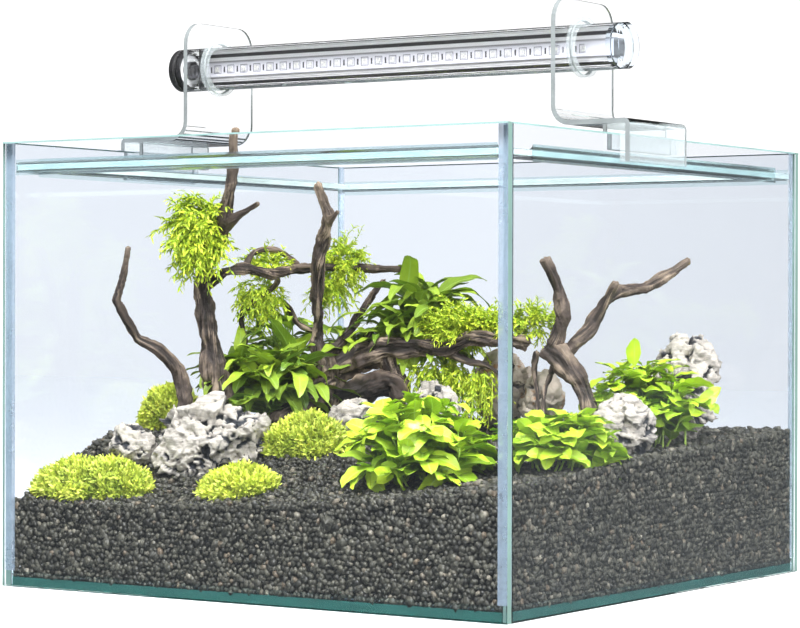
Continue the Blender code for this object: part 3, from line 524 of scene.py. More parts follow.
def write_tint(mesh, tint):
    """Stores three shares per vertex, which the material reads as its tint."""
    tint = np.asarray(tint, np.float32)
    if tint.ndim == 1:
        tint = np.repeat(tint[:, None], 3, axis=1)
    layer = mesh.color_attributes.new(name="tint", type='FLOAT_COLOR', domain='POINT')
    layer.data.foreach_set("color", np.hstack([tint, np.ones((len(tint), 1))])
                           .astype(np.float32).ravel())


def read_tint(tree):
    """The three stored shares as separate sockets."""
    stored = add_node(tree, "ShaderNodeAttribute", {"attribute_name": "tint"})
    return add_node(tree, "ShaderNodeSeparateColor", None,
                    Color=stored.outputs["Color"]).outputs


def node_arrays(node):
    """Points, triangles and triangle normals, twice the area long, of a frame node."""
    mesh = frame["nodes"][node].data
    verts = np.zeros(len(mesh.vertices) * 3)
    mesh.vertices.foreach_get("co", verts)
    mesh.calc_loop_triangles()
    tris = np.zeros(len(mesh.loop_triangles) * 3, np.int64)
    mesh.loop_triangles.foreach_get("vertices", tris)
    verts, tris = verts.reshape(-1, 3), tris.reshape(-1, 3)
    first, second, third = (verts[tris[:, k]] for k in range(3))
    return verts, tris, np.cross(second - first, third - first)


def scatter(node, count, rng, keep=None):
    """Points and outward normals spread evenly over a node's surface."""
    verts, tris, cross = node_arrays(node)
    area = np.linalg.norm(cross, axis=1)
    normals = cross / np.maximum(area, 1e-12)[:, None]
    if keep is not None:
        area = area * keep(verts[tris].mean(axis=1), normals)
    pick = rng.choice(len(tris), count, p=area / area.sum())
    a, b = rng.random((2, count, 1))
    flip = (a + b) > 1
    a, b = np.where(flip, 1 - a, a), np.where(flip, 1 - b, b)
    corner = verts[tris[pick]]
    points = corner[:, 0] + a * (corner[:, 1] - corner[:, 0]) + b * (corner[:, 2] - corner[:, 0])
    return points, normals[pick]


BED_MESH = frame["nodes"]["gravel_bed"].data
GRAVEL_TREE = BVHTree.FromPolygons([v.co[:] for v in BED_MESH.vertices],
                                   [p.vertices[:] for p in BED_MESH.polygons])
BED_REACH = INSIDE - 0.004


def gravel_top(x, y):
    """Height of the gravel at a place, held inside the bed's edge."""
    x, y = (min(max(v, -BED_REACH), BED_REACH) for v in (x, y))
    return GRAVEL_TREE.ray_cast(Vector((x, y, 1)), Vector((0, 0, -1)))[0].z


def smooth_path(points, count):
    """A smooth curve through points, as count evenly spread samples."""
    points = np.asarray(points, float)
    padded = np.vstack([2 * points[0] - points[1], points, 2 * points[-1] - points[-2]])
    steps = np.linspace(0, len(points) - 1, count)
    start = np.minimum(steps.astype(int), len(points) - 2)
    t = (steps - start)[:, None]
    p0, p1, p2, p3 = (padded[start + k] for k in range(4))
    return 0.5 * (2 * p1 + (p2 - p0) * t + (2 * p0 - 5 * p1 + 4 * p2 - p3) * t ** 2
                  + (3 * p1 - p0 - 3 * p2 + p3) * t ** 3)


def dense_copy(node, voxel, rounds):
    """Vertices, quads and normals of a frame node remeshed into even small faces."""
    source = frame["nodes"][node]
    copy = link(bpy.data.objects.new(node + "_dense", source.data.copy()))
    remesh = copy.modifiers.new("voxels", 'REMESH')
    remesh.mode = 'VOXEL'
    remesh.voxel_size = voxel
    copy.modifiers.new("relax", 'SMOOTH').iterations = rounds
    view = copy.evaluated_get(bpy.context.evaluated_depsgraph_get())
    mesh = bpy.data.meshes.new_from_object(view)
    verts, normals = np.zeros((2, len(mesh.vertices) * 3))
    mesh.vertices.foreach_get("co", verts)
    mesh.vertices.foreach_get("normal", normals)
    faces = np.array([p.vertices[:] for p in mesh.polygons if len(p.vertices) == 4])
    bpy.data.objects.remove(copy)
    bpy.data.meshes.remove(mesh)
    return verts.reshape(-1, 3), faces, normals.reshape(-1, 3)


# ---- gravel ----------------------------------------------------------------------------
BED_TOP = 0.19              # above the highest gravel, from the floor pane
SUNK = 0.0008               # how deep a pebble's middle lies below the bed's surface
LOOSE_LIFT = 0.0022         # how high the loose top pebbles lie on the others
LOOSE_SHARE = 0.28
# The gravel core is painted near-black as the shade in the gaps between the pebbles.
CORE_INSET = 0.0032         # the dark core's distance behind the wall pebbles
CORE_DROP = 0.0028          # and below the top ones
PALE_FROM = 0.93            # pebbles above this share are pale


def pebble_form():
    """A rounded unit stone: two poles and three rings of six."""
    verts = [(0, 0, -1)]
    for height in (-0.62, 0.02, 0.66):
        ring = math.sqrt(1 - height * height)
        for k in range(6):
            turn = math.tau * (k + height) / 6
            verts.append((ring * math.cos(turn), ring * math.sin(turn), height))
    verts.append((0, 0, 1))
    faces = [(0, 1 + (k + 1) % 6, 1 + k) for k in range(6)]
    for ring in (1, 7):
        for k in range(6):
            n = (k + 1) % 6
            faces += [(ring + k, ring + n, ring + 6 + n), (ring + k, ring + 6 + n, ring + 6 + k)]
    faces += [(13 + k, 13 + (k + 1) % 6, 19) for k in range(6)]
    return np.array(verts), np.array(faces)


def pebble_meshes(centres, normals, length, rng):
    """Pebbles lying with their flat side along each normal; arrays for one mesh."""
    form, faces = pebble_form()
    count = len(centres)
    normals = unit(normals + rng.normal(0, 0.28, (count, 3)))
    side = unit(np.cross(normals, rng.normal(0, 1, (count, 3))))
    size = length / 2 * rng.lognormal(0, 0.22, (count, 1))
    half = np.hstack([size, size * rng.uniform(0.62, 0.92, (count, 1)),
                      size * rng.uniform(0.42, 0.66, (count, 1))])
    shape = form[None] * (1 + rng.normal(0, 0.07, (count, len(form), 1))) * half[:, None, :]
    verts = centres[:, None] + sum(
        shape[..., k:k + 1] * way[:, None]
        for k, way in enumerate((side, np.cross(normals, side), normals)))
    every = (faces[None] + np.arange(count)[:, None, None] * len(form)).reshape(-1, 3)
    tint = np.stack([rng.random(count) for _ in range(3)], 1)
    return verts.reshape(-1, 3), every, np.repeat(tint, len(form), axis=0)


def grid_spots(wide, tall, spacing, rng):
    """Jittered spots filling a rectangle, in rows shifted by half a step."""
    spots = []
    for row, v in enumerate(np.arange(spacing * 0.4, tall, spacing * 0.9)):
        for u in np.arange(-wide + spacing * (0.25 + 0.5 * (row % 2)), wide, spacing):
            spots.append((u, v))
    spots = np.array(spots)
    return spots + rng.normal(0, spacing * 0.17, spots.shape)


def side_pebbles(axis, sign, look, rng):
    """Pebbles pressed against one wall, from the floor to the gravel's top."""
    edge = INSIDE - 0.0005
    spots = grid_spots(edge, BED_TOP, look.spacing, rng)
    column = np.arange(0.001, BED_TOP, look.spacing * 0.8)
    for end in (-1, 1):
        corner = np.full(len(column), end * (edge - 0.0030))
        spots = np.vstack([spots, np.column_stack([corner, column])])
    inset = INSIDE - look.length * 0.24
    centres = []
    for u, v in spots:
        place = (u, sign * inset) if axis == 1 else (sign * inset, u)
        if FLOOR_TOP + v < gravel_top(*place) + 0.0005 and abs(u) < edge - 0.0015:
            centres.append((*place, FLOOR_TOP - SUNK + v))
    centres = np.array(centres)
    centres[:, axis] += -sign * rng.uniform(0, 0.0009, len(centres))
    normals = np.zeros(centres.shape)
    normals[:, axis] = sign
    return pebble_meshes(centres, normals, look.length, rng)


def top_pebbles(low_x, high_x, low_y, high_y, look, rng):
    """One patch of the bed's upper surface, with a few stones lying loose on it."""
    spots = grid_spots((high_x - low_x) / 2, high_y - low_y, look.spacing, rng)
    extra = (spots[rng.random(len(spots)) < LOOSE_SHARE]
             + rng.normal(0, look.spacing * 0.5, (1, 2)))
    places, lift = np.vstack([spots, extra]), np.zeros(len(spots) + len(extra))
    lift[len(spots):] = LOOSE_LIFT
    places = np.clip(places + ((low_x + high_x) / 2, low_y), -INSIDE + 0.002, INSIDE - 0.002)
    height = np.array([gravel_top(x, y) for x, y in places])
    centres = np.column_stack([places, height - SUNK + lift
                               + rng.normal(0, 0.0007, len(height))])
    normals = rng.normal(0, 0.3, (len(centres), 3)) + (0, 0, 1)
    return pebble_meshes(centres, normals, look.length, rng)


def gravel_material(look):
    material, tree, shader, mottle = mottled("gravel_pebbles", 160.0, 900.0, 0.6, (0.34, 0.62))
    kind, mood = read_tint(tree)[:2]
    dull = mix_colour(tree, mood, look.dark, look.middle)
    rare = ramp(tree, kind, [(0.0, (0, 0, 0)), (PALE_FROM, (1, 1, 1))], 'CONSTANT')
    light = mix_colour(tree, mood, look.pale, (0.16, 0.115, 0.070))
    colour = mix_colour(tree, rare, dull, light)
    colour = mix_colour(tree, times(tree, mottle["Mask"], 0.55), colour, look.dark)
    feed(tree, shader, Base_Color=colour, Normal=bump(tree, mottle["Height"], 0.35, 0.0006))
    return material


def build_gravel(look):
    rng = np.random.default_rng(11)
    material = gravel_material(look)
    core, tris, _ = node_arrays("gravel_bed")
    core[:, :2] *= 1 - CORE_INSET / INSIDE
    core[:, 2] -= np.where(core[:, 2] > 0.05, CORE_DROP, 0.0)
    # Painted shade: the core's near-black colour stands for the shade deep between the pebbles.
    shade = two_toned("gravel_core_painted_shade", 200.0, 700.0, 0.2, None, (0.004, 0.004, 0.004), look.dark,
                      (0.8, 0.002), Roughness=0.8)
    add_piece("gravel_core_painted_shade", core, tris, shade, ("gravel_bed",), smooth=False)
    for name, axis, sign in WALLS:
        add_scape(f"pebbles_{name}", side_pebbles(axis, sign, look, rng), material,
                  ("gravel_bed",))
    halves = (("left", "front", -INSIDE, 0.0), ("right", "back", 0.0, INSIDE))
    for across, deep in product(halves, repeat=2):
        add_scape(f"pebbles_top_{across[0]}_{deep[1]}",
                  top_pebbles(*across[2:], *deep[2:], look, rng), material,
                  ("gravel_bed",))


# ---- stone and wood --------------------------------------------------------------------
BED_TILT = (0.30, -0.12, 0.94)
SLAB_TILT = (0.55, 0.2, 0.8)
BROWN_TILT = (0.5, -0.3, 0.8)
BED_THICKNESS = 0.019
LARGE_CHIP, SMALL_CHIP, PIT_SIZE = 0.034, 0.013, 0.0095
BARK_STEP = 0.0018
GROOVE_DEPTH = 0.0022
TWIST = 9.0


def carve_rock(verts, normals, seed, depth, tilt):
    """Ledges across a tilted bedding, pits and cracks; returns shape and the painted shade share
    of hollows.
    """
    warped = verts + 0.004 * np.column_stack([layered_noise(verts, 0.014, seed + k, 3)
                                              for k in range(3)])
    along = warped @ unit(tilt) + 0.005 * smooth_noise(verts, 0.04, seed)
    layer = np.mod(along / BED_THICKNESS, 1.0)
    ledge = np.where(layer < 0.86, layer / 0.86, (1 - layer) / 0.14)
    broken = np.clip(0.5 + 1.4 * smooth_noise(verts, 0.024, seed + 2), 0, 1)
    large, large_edge = cell_planes(warped, LARGE_CHIP, seed + 11, 1.0)
    small, small_edge = cell_planes(warped * (1, 1, 1.4), SMALL_CHIP, seed + 23, 0.8)
    pit = np.clip((layered_noise(warped, PIT_SIZE, seed + 31, 3) - 0.42) / 0.35, 0, 1)
    fine = layered_noise(verts, 0.005, seed + 5, 3)
    move = depth * (1.05 * large + 0.45 * small + 0.8 * (ledge - 0.6) * broken - 0.7 * pit
                    + 0.16 * fine)
    deep = np.clip(-0.6 * large - 0.75 * small - 0.15, 0, 1)
    # Painted shade: pits, cracks between chips and the undersides of ledges are marked for
    # darkening.
    hollow_shade = np.clip(0.9 * pit + 0.9 * deep * small_edge + 0.55 * large_edge * broken
                     + 0.9 * np.clip(0.22 - ledge, 0, 1) / 0.22 * broken - 0.2 * fine, 0, 1)
    return verts + normals * move[:, None], hollow_shade


def rock_material(look):
    material, tree, shader, mottle = mottled("weathered_rock", 38.0, 260.0, 0.8, (0.72, 0.93))
    hollow_shade = read_tint(tree)[0]
    streak = noise(tree, add_node(tree, "ShaderNodeMapping", None, Vector=object_place(tree),
                                  Scale=(1.0, 1.0, 4.0)).outputs[0], 55.0, 6.0, 0.7)
    face = mix_colour(tree, span(tree, streak, 0.42, 0.66), look.rock, (0.33, 0.30, 0.26))
    face = mix_colour(tree, span(tree, mottle["Mask"], 0.55, 1.0, 0, 0.45), face,
                      (0.70, 0.64, 0.55))
    # Painted shade: the hollow share darkens pits, cracks and ledge undersides to the crevice
    # colour.
    feed(tree, shader,
         Base_Color=mix_colour(tree, span(tree, hollow_shade, 0.12, 0.62), face, look.crevice_shade),
         Normal=bump(tree, maths(tree, 'ADD', mottle["Height"], streak), 1.0, 0.0024))
    return material


def brown_material(look):
    material, tree, shader, mottle = mottled("smooth_brown_stone", 30.0, 220.0, 1.5, (0.5, 0.75))
    hollow_shade = read_tint(tree)[0]
    face = mix_colour(tree, mottle["Mask"], look.brown, (0.56, 0.46, 0.37))
    rust = noise(tree, object_place(tree), 44.0, 3.0, 0.5, 1.2)
    face = mix_colour(tree, span(tree, rust, 0.60, 0.72), face, (0.36, 0.15, 0.035))
    # Painted shade: the hollow share darkens pits and cracks to a near-black brown.
    feed(tree, shader, Normal=bump(tree, mottle["Height"], 0.35, 0.001),
         Base_Color=mix_colour(tree, span(tree, hollow_shade, 0.2, 0.8), face, (0.05, 0.035, 0.028)))
    return material


def build_rocks(look):
    grey, brown = rock_material(look), brown_material(look)
    for number, name in enumerate(GREY_ROCKS):
        large = "large" in name or "slab" in name
        verts, faces, normals = dense_copy(name, 0.0014 if large else 0.0011, 4)
        verts, hollow_shade = carve_rock(verts, normals, 20 + 31 * number, 0.0076 if large else 0.0050,
                                   SLAB_TILT if "slab" in name else BED_TILT)
        add_scape(name + "_weathered", (verts, faces, hollow_shade), grey, (name,))
    for number, name in enumerate(BROWN_ROCKS):
        verts, faces, normals = dense_copy(name, 0.0013, 4)
        verts, hollow_shade = carve_rock(verts, normals, 50 + 17 * number, 0.0045, BROWN_TILT)
        add_scape(name + "_worn", (verts, faces, hollow_shade * 0.8), brown, (name,))


def in_metres(limbs):
    return [np.array(limb) / 1000 for limb in limbs]


def limb_frames(limbs, samples=60):
    """Points, directions, radii and lengths along every limb of one piece of wood."""
    rows = []
    for number, limb in enumerate(limbs):
        path = smooth_path(limb, samples)
        steps = np.linalg.norm(np.diff(path[:, :3], axis=0), axis=1)
        far = np.concatenate([[0], np.cumsum(steps)])
        rows.append(np.column_stack([path[:, :3], unit(np.gradient(path[:, :3], axis=0)),
                                     path[:, 3], far + number * 1.7, far / far[-1]]))
    return np.vstack(rows)


def limb_tube(limb):
    """A round limb with closed ends: points, faces and outward normals."""
    sides = max(12, int(limb[:, 3].max() * math.tau / BARK_STEP))
    length = np.linalg.norm(np.diff(limb[:, :3], axis=0), axis=1).sum()
    path = smooth_path(limb, max(12, int(length / BARK_STEP)))
    side, up = sides_of(unit(np.gradient(path[:, :3], axis=0)))
    turn = np.arange(sides) * math.tau / sides
    out = side[:, None] * np.cos(turn)[:, None] + up[:, None] * np.sin(turn)[:, None]
    far = np.linspace(0, 1, len(path)) * length / path[:, 3]
    near_end = np.clip(np.minimum(far, far[::-1]), 0, 1)
    size = path[:, 3] * np.sqrt(1 - (1 - near_end) ** 2 * 0.999)
    verts = path[:, None, :3] + out * size[:, None, None]
    return verts.reshape(-1, 3), tube_faces(1, len(path), sides), out.reshape(-1, 3)


def carve_wood(verts, normals, limbs, seed, slim=0.0):
    """Twisting lengthwise grooves, knots and worn ridges; returns shape and tint."""
    frames = limb_frames(limbs)
    best = np.concatenate([
        (np.linalg.norm(block[:, None] - frames[None, :, :3], axis=2) - frames[None, :, 6])
        .argmin(axis=1) for block in np.array_split(verts, len(verts) // 4000 + 1)])
    home = frames[best]
    way, radius, along = home[:, 3:6], home[:, 6], home[:, 7]
    out = verts - home[:, :3]
    forward = (out * way).sum(axis=1)
    out = out - forward[:, None] * way
    side, up = sides_of(way)
    lengthwise = along + forward
    turn = np.arctan2((out * up).sum(1), (out * side).sum(1)) + TWIST * lengthwise
    ring = np.column_stack([np.cos(turn), np.sin(turn)]) * (radius[:, None] + 0.006) / 0.012
    coarse, fine = (layered_noise(np.column_stack([ring * around, lengthwise * length]), 1.0,
                                  seed + more, 3)
                    for around, length, more in ((1.3, 16, 0), (4.2, 34, 5)))
    groove = 1 - np.abs(fine)
    lumps = layered_noise(verts, 0.022, seed + 9, 3)
    move = (radius * (0.20 * coarse + 0.26 * lumps - 0.07)
            - GROOVE_DEPTH * np.clip(groove - 0.45, 0, 1))
    ridge = np.clip(0.5 + 0.5 * coarse + 0.35 * lumps - 0.8 * (groove - 0.6), 0, 1)
    leaner = slim * np.clip((verts[:, 2] - 0.21) / 0.04, 0, 1)
    verts = verts + normals * move[:, None] - out * leaner[:, None]
    tip = np.clip((home[:, 8] - 0.86) / 0.14, 0, 1)
    return verts, np.column_stack([ridge, tip, ridge])


def wood_material(look):
    material, tree, shader, mottle = mottled("driftwood", 26.0, 420.0, 0.5, (0.6, 0.88))
    ridge, tip = read_tint(tree)[:2]
    worn = times(tree, span(tree, ridge, 0.52, 0.88), span(tree, mottle["Mask"], 0.35, 0.9))
    worn = maths(tree, 'MAXIMUM', worn, times(tree, tip, 0.35), clamp=True)
    base = mix_colour(tree, span(tree, ridge, 0.2, 0.6), look.wood, (0.070, 0.048, 0.036))
    feed(tree, shader, Base_Color=mix_colour(tree, worn, base, look.wood_pale),
         Normal=bump(tree, mottle["Height"], 0.5, 0.0008))
    return material


def build_wood(look):
    material = wood_material(look)
    for number, (name, limbs) in enumerate(LIMBS.items()):
        verts, faces, normals = dense_copy(name, 0.0011, 3)
        verts, tint = carve_wood(verts, normals, in_metres(limbs), 70 + 13 * number,
                                 SLIMMED.get(name, 0.0))
        add_scape(name + "_grained", (verts, faces, tint), material, (name,))
    twigs = in_metres(TWIGS)
    verts, faces, normals = joined([limb_tube(twig) for twig in twigs])
    verts, tint = carve_wood(verts, normals, twigs, 170)
    add_scape("driftwood_twigs", (verts, faces, tint), material)


# ---- plants ----------------------------------------------------------------------------
CUSHION_LEAVES = 6500
# The cushion core reads as the moss shade colour: painted shade under the leaves.
CORE_TINT = (0.3, 0.0, 0.08)
STALK_TINT = (0.35, 0.0, 0.5)
LEAF_TURN = 2.4             # radians round the stem from one leaf to the next
SEED_RANGE = 1 << 30


def blades(bases, heading, up, length, width, bend, rows=3, columns=2, fold=0.3, shape="narrow",
           wave=0.0, seed=0):
    """One mesh of many leaf blades.  Each starts at its base, heads out, and arches over."""
    bases, heading, up = (np.asarray(a, float) for a in (bases, heading, up))
    count = len(bases)
    heading = unit(heading)
    side = unit(np.cross(heading, up))
    face = np.cross(side, heading)
    share = np.linspace(0, 1, rows)
    across = np.linspace(-1, 1, columns)
    outline = {
        "narrow": 0.16 + 0.84 * np.sin(np.pi * np.clip(share * 0.94 + 0.04, 0, 1)) ** 0.8,
        "broad": 0.05 + 2.42 * share ** 0.62 * (1 - share) ** 0.72,
        "strap": 0.10 + 0.95 * np.clip(share * 4.5, 0, 1) ** 0.7 * (1 - share ** 2.6) ** 0.8,
    }[shape]
    length, width, bend = (np.broadcast_to(a, count).astype(float)[:, None]
                           for a in (length, width, bend))
    turn = bend * share[None]
    safe = np.where(np.abs(bend) < 0.05, 0.05, bend)
    reach = np.sin(safe * share) / safe * length
    drop = (1 - np.cos(safe * share)) / safe * length
    spine = bases[:, None] + heading[:, None] * reach[..., None] - face[:, None] * drop[..., None]
    lift = face[:, None] * np.cos(turn)[..., None] + heading[:, None] * np.sin(turn)[..., None]
    half = width / 2 * outline[None]
    rng = np.random.default_rng(seed)
    phase = rng.uniform(0, math.tau, (count, 1, 1))
    ripple = wave * width[..., None] * np.sin(phase + share[None, :, None] * 15) * across ** 2
    rise = half[..., None] * np.abs(across) * math.sin(fold) + ripple
    verts = (spine[:, :, None]
             + side[:, None, None] * (half[..., None] * across * math.cos(fold))[..., None]
             + lift[:, :, None] * rise[..., None])
    index = np.arange(count * rows * columns).reshape(count, rows, columns)
    faces = np.stack([index[:, :-1, :-1], index[:, :-1, 1:], index[:, 1:, 1:], index[:, 1:, :-1]],
                     axis=-1).reshape(-1, 4)
    tint = np.empty((count, rows, columns, 3))
    mood = rng.random(count)[:, None, None]
    for k, value in enumerate((mood, np.abs(across), share[None, :, None])):
        tint[..., k] = value
    return verts.reshape(-1, 3), faces, tint.reshape(-1, 3)


def stalks(paths, thick, thin, sides=5):
    """Tapered round stalks along sampled paths (count, points, 3); arrays for one mesh."""
    paths = np.asarray(paths, float)
    count, samples = paths.shape[:2]
    side, up = sides_of(unit(np.gradient(paths, axis=1)))
    turn = np.arange(sides) * math.tau / sides
    size = np.linspace(thick, thin, samples)[None, :, None, None]
    verts = paths[:, :, None] + size * (side[:, :, None] * np.cos(turn)[:, None]
                                        + up[:, :, None] * np.sin(turn)[:, None])
    verts = verts.reshape(-1, 3)
    return verts, tube_faces(count, samples, sides), np.tile(STALK_TINT, (len(verts), 1))


def let_light_in(shader, weight, radius):
    for name, value in (("Weight", weight), ("Radius", radius), ("Scale", 1.0)):
        shader.inputs["Subsurface " + name].default_value = value


def moss_material(name, lit, deep):
    material, tree, shader, mottle = mottled(name, 45.0, 300.0, 0.4, (0.42, 0.66))
    mood, _, share = read_tint(tree)[:3]
    tip = mix_colour(tree, mood, lit, toned(lit, 1.45, 1.15, 1.3))
    # Painted shade: each leaf runs from the shade colour at its base to its lit tip; the core
    # takes the shade colour.
    colour = mix_colour(tree, span(tree, share, 0.05, 0.75), deep, tip)
    colour = mix_colour(tree, times(tree, mottle["Mask"], 0.45), colour, deep)
    feed(tree, shader, Base_Color=colour)
    let_light_in(shader, 0.12, (0.002, 0.003, 0.0006))
    return material


def leaf_material(name, lit, deep, vein, spacing):
    """A leaf blade with a pale midrib and slanting side veins, spacing radians base to tip."""
    material, tree, shader, mottle = mottled(name, 60.0, 340.0, 0.6, (0.26, 0.46))
    mood, across, share = read_tint(tree)[:3]
    # The leaf tone runs from shade to lit by its tint; on broad leaves this is painted shade on
    # the lower leaves, and on strap leaves it is random.
    body = mix_colour(tree, mood, deep, lit)
    body = mix_colour(tree, times(tree, mottle["Mask"], 0.4), body, deep)
    slope = less(tree, times(tree, share, spacing), times(tree, across, spacing * 0.22))
    rib = maths(tree, 'ABSOLUTE', maths(tree, 'SINE', slope))
    veins = maths(tree, 'MAXIMUM', span(tree, rib, 0.0, 0.22, 0.55, 0.0),
                  span(tree, across, 0.02, 0.13, 1.0, 0.0))
    feed(tree, shader, Base_Color=mix_colour(tree, times(tree, veins, 0.6), body, vein),
         Normal=bump(tree, less(tree, mottle["Height"], veins), 0.35, 0.0005))
    let_light_in(shader, 0.10, (0.003, 0.004, 0.0008))
    return material


def build_cushions(look):
    """Low cushions: a rough green core under thousands of tiny upright leaves."""
    material = moss_material("moss_cushion", look.moss, look.moss_deep)
    for number, name in enumerate(MOSS_CUSHIONS):
        rng = np.random.default_rng(200 + number)
        core, quads, normals = dense_copy(name, 0.0030, 2)
        move = 0.0022 * layered_noise(core, 0.014, 80 + number, 3) - 0.0040
        points, ways = scatter(name, CUSHION_LEAVES, rng, lambda p, n: (n[:, 2] > -0.5) * 1.0)
        lumpy = layered_noise(points, 0.014, 80 + number, 3)
        points = points + ways * (0.0030 * lumpy - 0.0030
                                  + rng.uniform(-0.0030, 0.0026, len(points)))[:, None]
        heading = unit(ways + (0, 0, 0.5)) + rng.normal(0, 0.6, points.shape)
        leaves = blades(points, heading, rng.normal(0, 1, points.shape),
                        rng.uniform(0.0060, 0.0110, len(points)),
                        rng.uniform(0.0024, 0.0042, len(points)),
                        rng.uniform(0.2, 1.0, len(points)), seed=300 + number)
        verts, faces, tint = joined([(core + normals * move[:, None], quads,
                                      np.tile(CORE_TINT, (len(core), 1))), leaves])
        # Painted shade: leaves set low among the cushion's lumps are darker.
        shade = np.clip(0.75 + 0.5 * lumpy, 0.25, 1.0)
        tint[len(core):, 2] *= np.repeat(shade, len(leaves[0]) // len(points))
        add_scape(name + "_leafy", (verts, faces, tint), material, (name,))


def fronds(starts, ways, length, droop, leaf_length, leaf_width, pairs, rng):
    """Arching stems set with slim leaves on both sides; arrays for one mesh."""
    share = np.linspace(0, 1, pairs + 2)[None, :, None]
    length = np.asarray(length)[:, None, None]
    curl = rng.normal(0, 0.35, (len(starts), 1, 3)) * share ** 2
    paths = (starts[:, None] + unit(ways)[:, None] * length * share + curl * length
             + np.array((0, 0, -1.0)) * droop * length * share ** 2)
    way, spots = unit(np.gradient(paths, axis=1))[:, 1:], paths[:, 1:]
    total = spots[..., 0].size
    parts = [stalks(paths, 0.0006, 0.0003, 4)]
    for sign in (-1, 1):
        side = unit(np.cross(way, (0.2, 0.1, 1.0)) + rng.normal(0, 0.3, spots.shape))
        heading = way * 0.75 + sign * side * 0.8 + rng.normal(0, 0.25, spots.shape)
        parts.append(blades(spots.reshape(-1, 3), heading.reshape(-1, 3),
                            rng.normal((0, 0, 1.0), 0.5, (total, 3)),
                            leaf_length * rng.uniform(0.7, 1.25, total),
                            leaf_width * rng.uniform(0.7, 1.2, total),
                            rng.uniform(0.2, 1.1, total), rows=4,
                            seed=int(rng.integers(SEED_RANGE))))
    return joined(parts)


def build_fronds(look):
    """Feathery moss hung on the wood, and loose tufts along it."""
    material = moss_material("frond_moss", look.leaf, look.leaf_old_and_shade)
    for number, (name, plan) in enumerate(MOSS_HANGINGS.items()):
        count, reach, droop, long, wide, pairs, lean = plan
        rng = np.random.default_rng(400 + number)
        centre = box_arrays(name)[2]
        points = scatter(name, count, rng)[0]
        starts = centre + (points - centre) * rng.uniform(0.25, 0.8, (count, 1))
        ways = unit(points - centre) + lean + rng.normal(0, 0.25, points.shape)
        length = reach * rng.uniform(0.6, 1.25, count)
        add_scape(name + "_feathery", fronds(starts, ways, length, droop, long, wide, pairs, rng),
                  material, (name,))
    rng = np.random.default_rng(450)
    parts = []
    for centre, half, count, reach, droop in MOSS_TUFTS:
        spread = unit(rng.normal(0, 1, (count, 3)))
        starts = centre + spread * half * rng.uniform(0.1, 1.0, (count, 1))
        ways = spread + (0, 0, 0.5 - droop) + rng.normal(0, 0.3, starts.shape)
        parts.append(fronds(starts, ways, reach * rng.uniform(0.6, 1.3, count), droop, 0.0065,
                            0.0021, 6, rng))
    add_scape("moss_tufts", joined(parts), material)


def leafy_stems(name, count, leaves, leaf_length, leaf_width, rng):
    """Stems that rise from the gravel through a plant's space, with leaves all the way up."""
    centre = box_arrays(name)[2]
    tips = scatter(name, count, rng, lambda p, n: np.clip(n[:, 2] + 0.55, 0, 2))[0]
    parts = []
    for tip in tips:
        root = centre + (tip - centre) * 0.55 + rng.normal(0, 0.005, 3)
        root[2] = gravel_top(root[0], root[1]) - 0.003
        middle = (root + tip) / 2 + rng.normal(0, 0.006, 3) + (0, 0, 0.01)
        path = smooth_path([root, middle, tip], leaves + 2)
        parts.append(stalks(path[None], 0.0013, 0.0007))
        way = unit(np.gradient(path, axis=0))[-leaves:]
        turn = rng.uniform(0, math.tau) + np.arange(leaves) * LEAF_TURN
        outward = np.column_stack([np.cos(turn), np.sin(turn), np.zeros(leaves)])
        heading = outward * 0.85 + way * 0.6 + rng.normal(0, 0.2, (leaves, 3))
        size = np.linspace(1.05, 0.75, leaves) * rng.uniform(0.8, 1.15, leaves)
        verts, faces, tint = blades(path[-leaves:], heading, way + (0, 0, 0.8),
                                    leaf_length * size, leaf_width * size,
                                    rng.uniform(0.3, 1.3, leaves), rows=9, columns=5, fold=0.26,
                                    shape="broad", wave=0.05, seed=int(rng.integers(SEED_RANGE)))
        # Painted shade, partly older leaves: lower leaves take the darker leaf tone.
        mood = np.linspace(0.25, 1.0, leaves) * rng.uniform(0.6, 1.0, leaves)
        tint[:, 0] = np.repeat(mood, len(verts) // leaves)
        parts.append((verts, faces, tint))
    return joined(parts)


def build_broad_plants(look):
    material = leaf_material("broad_leaf", look.leaf, look.leaf_old_and_shade, (0.50, 0.70, 0.16), 26.0)
    for number, (name, plan) in enumerate(BROAD_PLANTS.items()):
        rng = np.random.default_rng(500 + number)
        add_scape(name + "_grown", leafy_stems(name, *plan, rng), material, (name,))


def strap_bunch(low, high, count, long, wide, bend, spread, seed):
    """Arching strap leaves on thin stalks that meet at the foot of a box."""
    rng = np.random.default_rng(seed)
    centre, half = (low + high) / 2, (high - low) / 2
    bases = centre + rng.uniform(-1, 1, (count, 3)) * half * spread
    bases[:, 2] = centre[2] + rng.uniform(-0.85, 0.35, count) * half[2]
    turn = rng.uniform(0, math.tau, count)
    heading = (np.column_stack([np.cos(turn), np.sin(turn), np.zeros(count)]) * 0.75
               + unit(bases - centre) * 0.5
               + np.array((0, 0, 1.0)) * rng.uniform(0.1, 1.1, (count, 1)))
    size = rng.uniform(0.65, 1.25, count)
    leaves = blades(bases, heading, rng.normal(0, 0.25, (count, 3)) + (0, 0, 1.0), long * size,
                    wide * size, bend * rng.uniform(0.4, 1.2, count), rows=13, columns=5,
                    fold=0.22, shape="strap", wave=0.06, seed=seed + 100)
    root = np.array((centre[0], centre[1], low[2]))
    paths = np.array([smooth_path([root + (base - root) * 0.15, (root + base) / 2
                                   + rng.normal(0, 0.004, 3), base], 6) for base in bases])
    return joined([leaves, stalks(paths, 0.0012, 0.0008)])


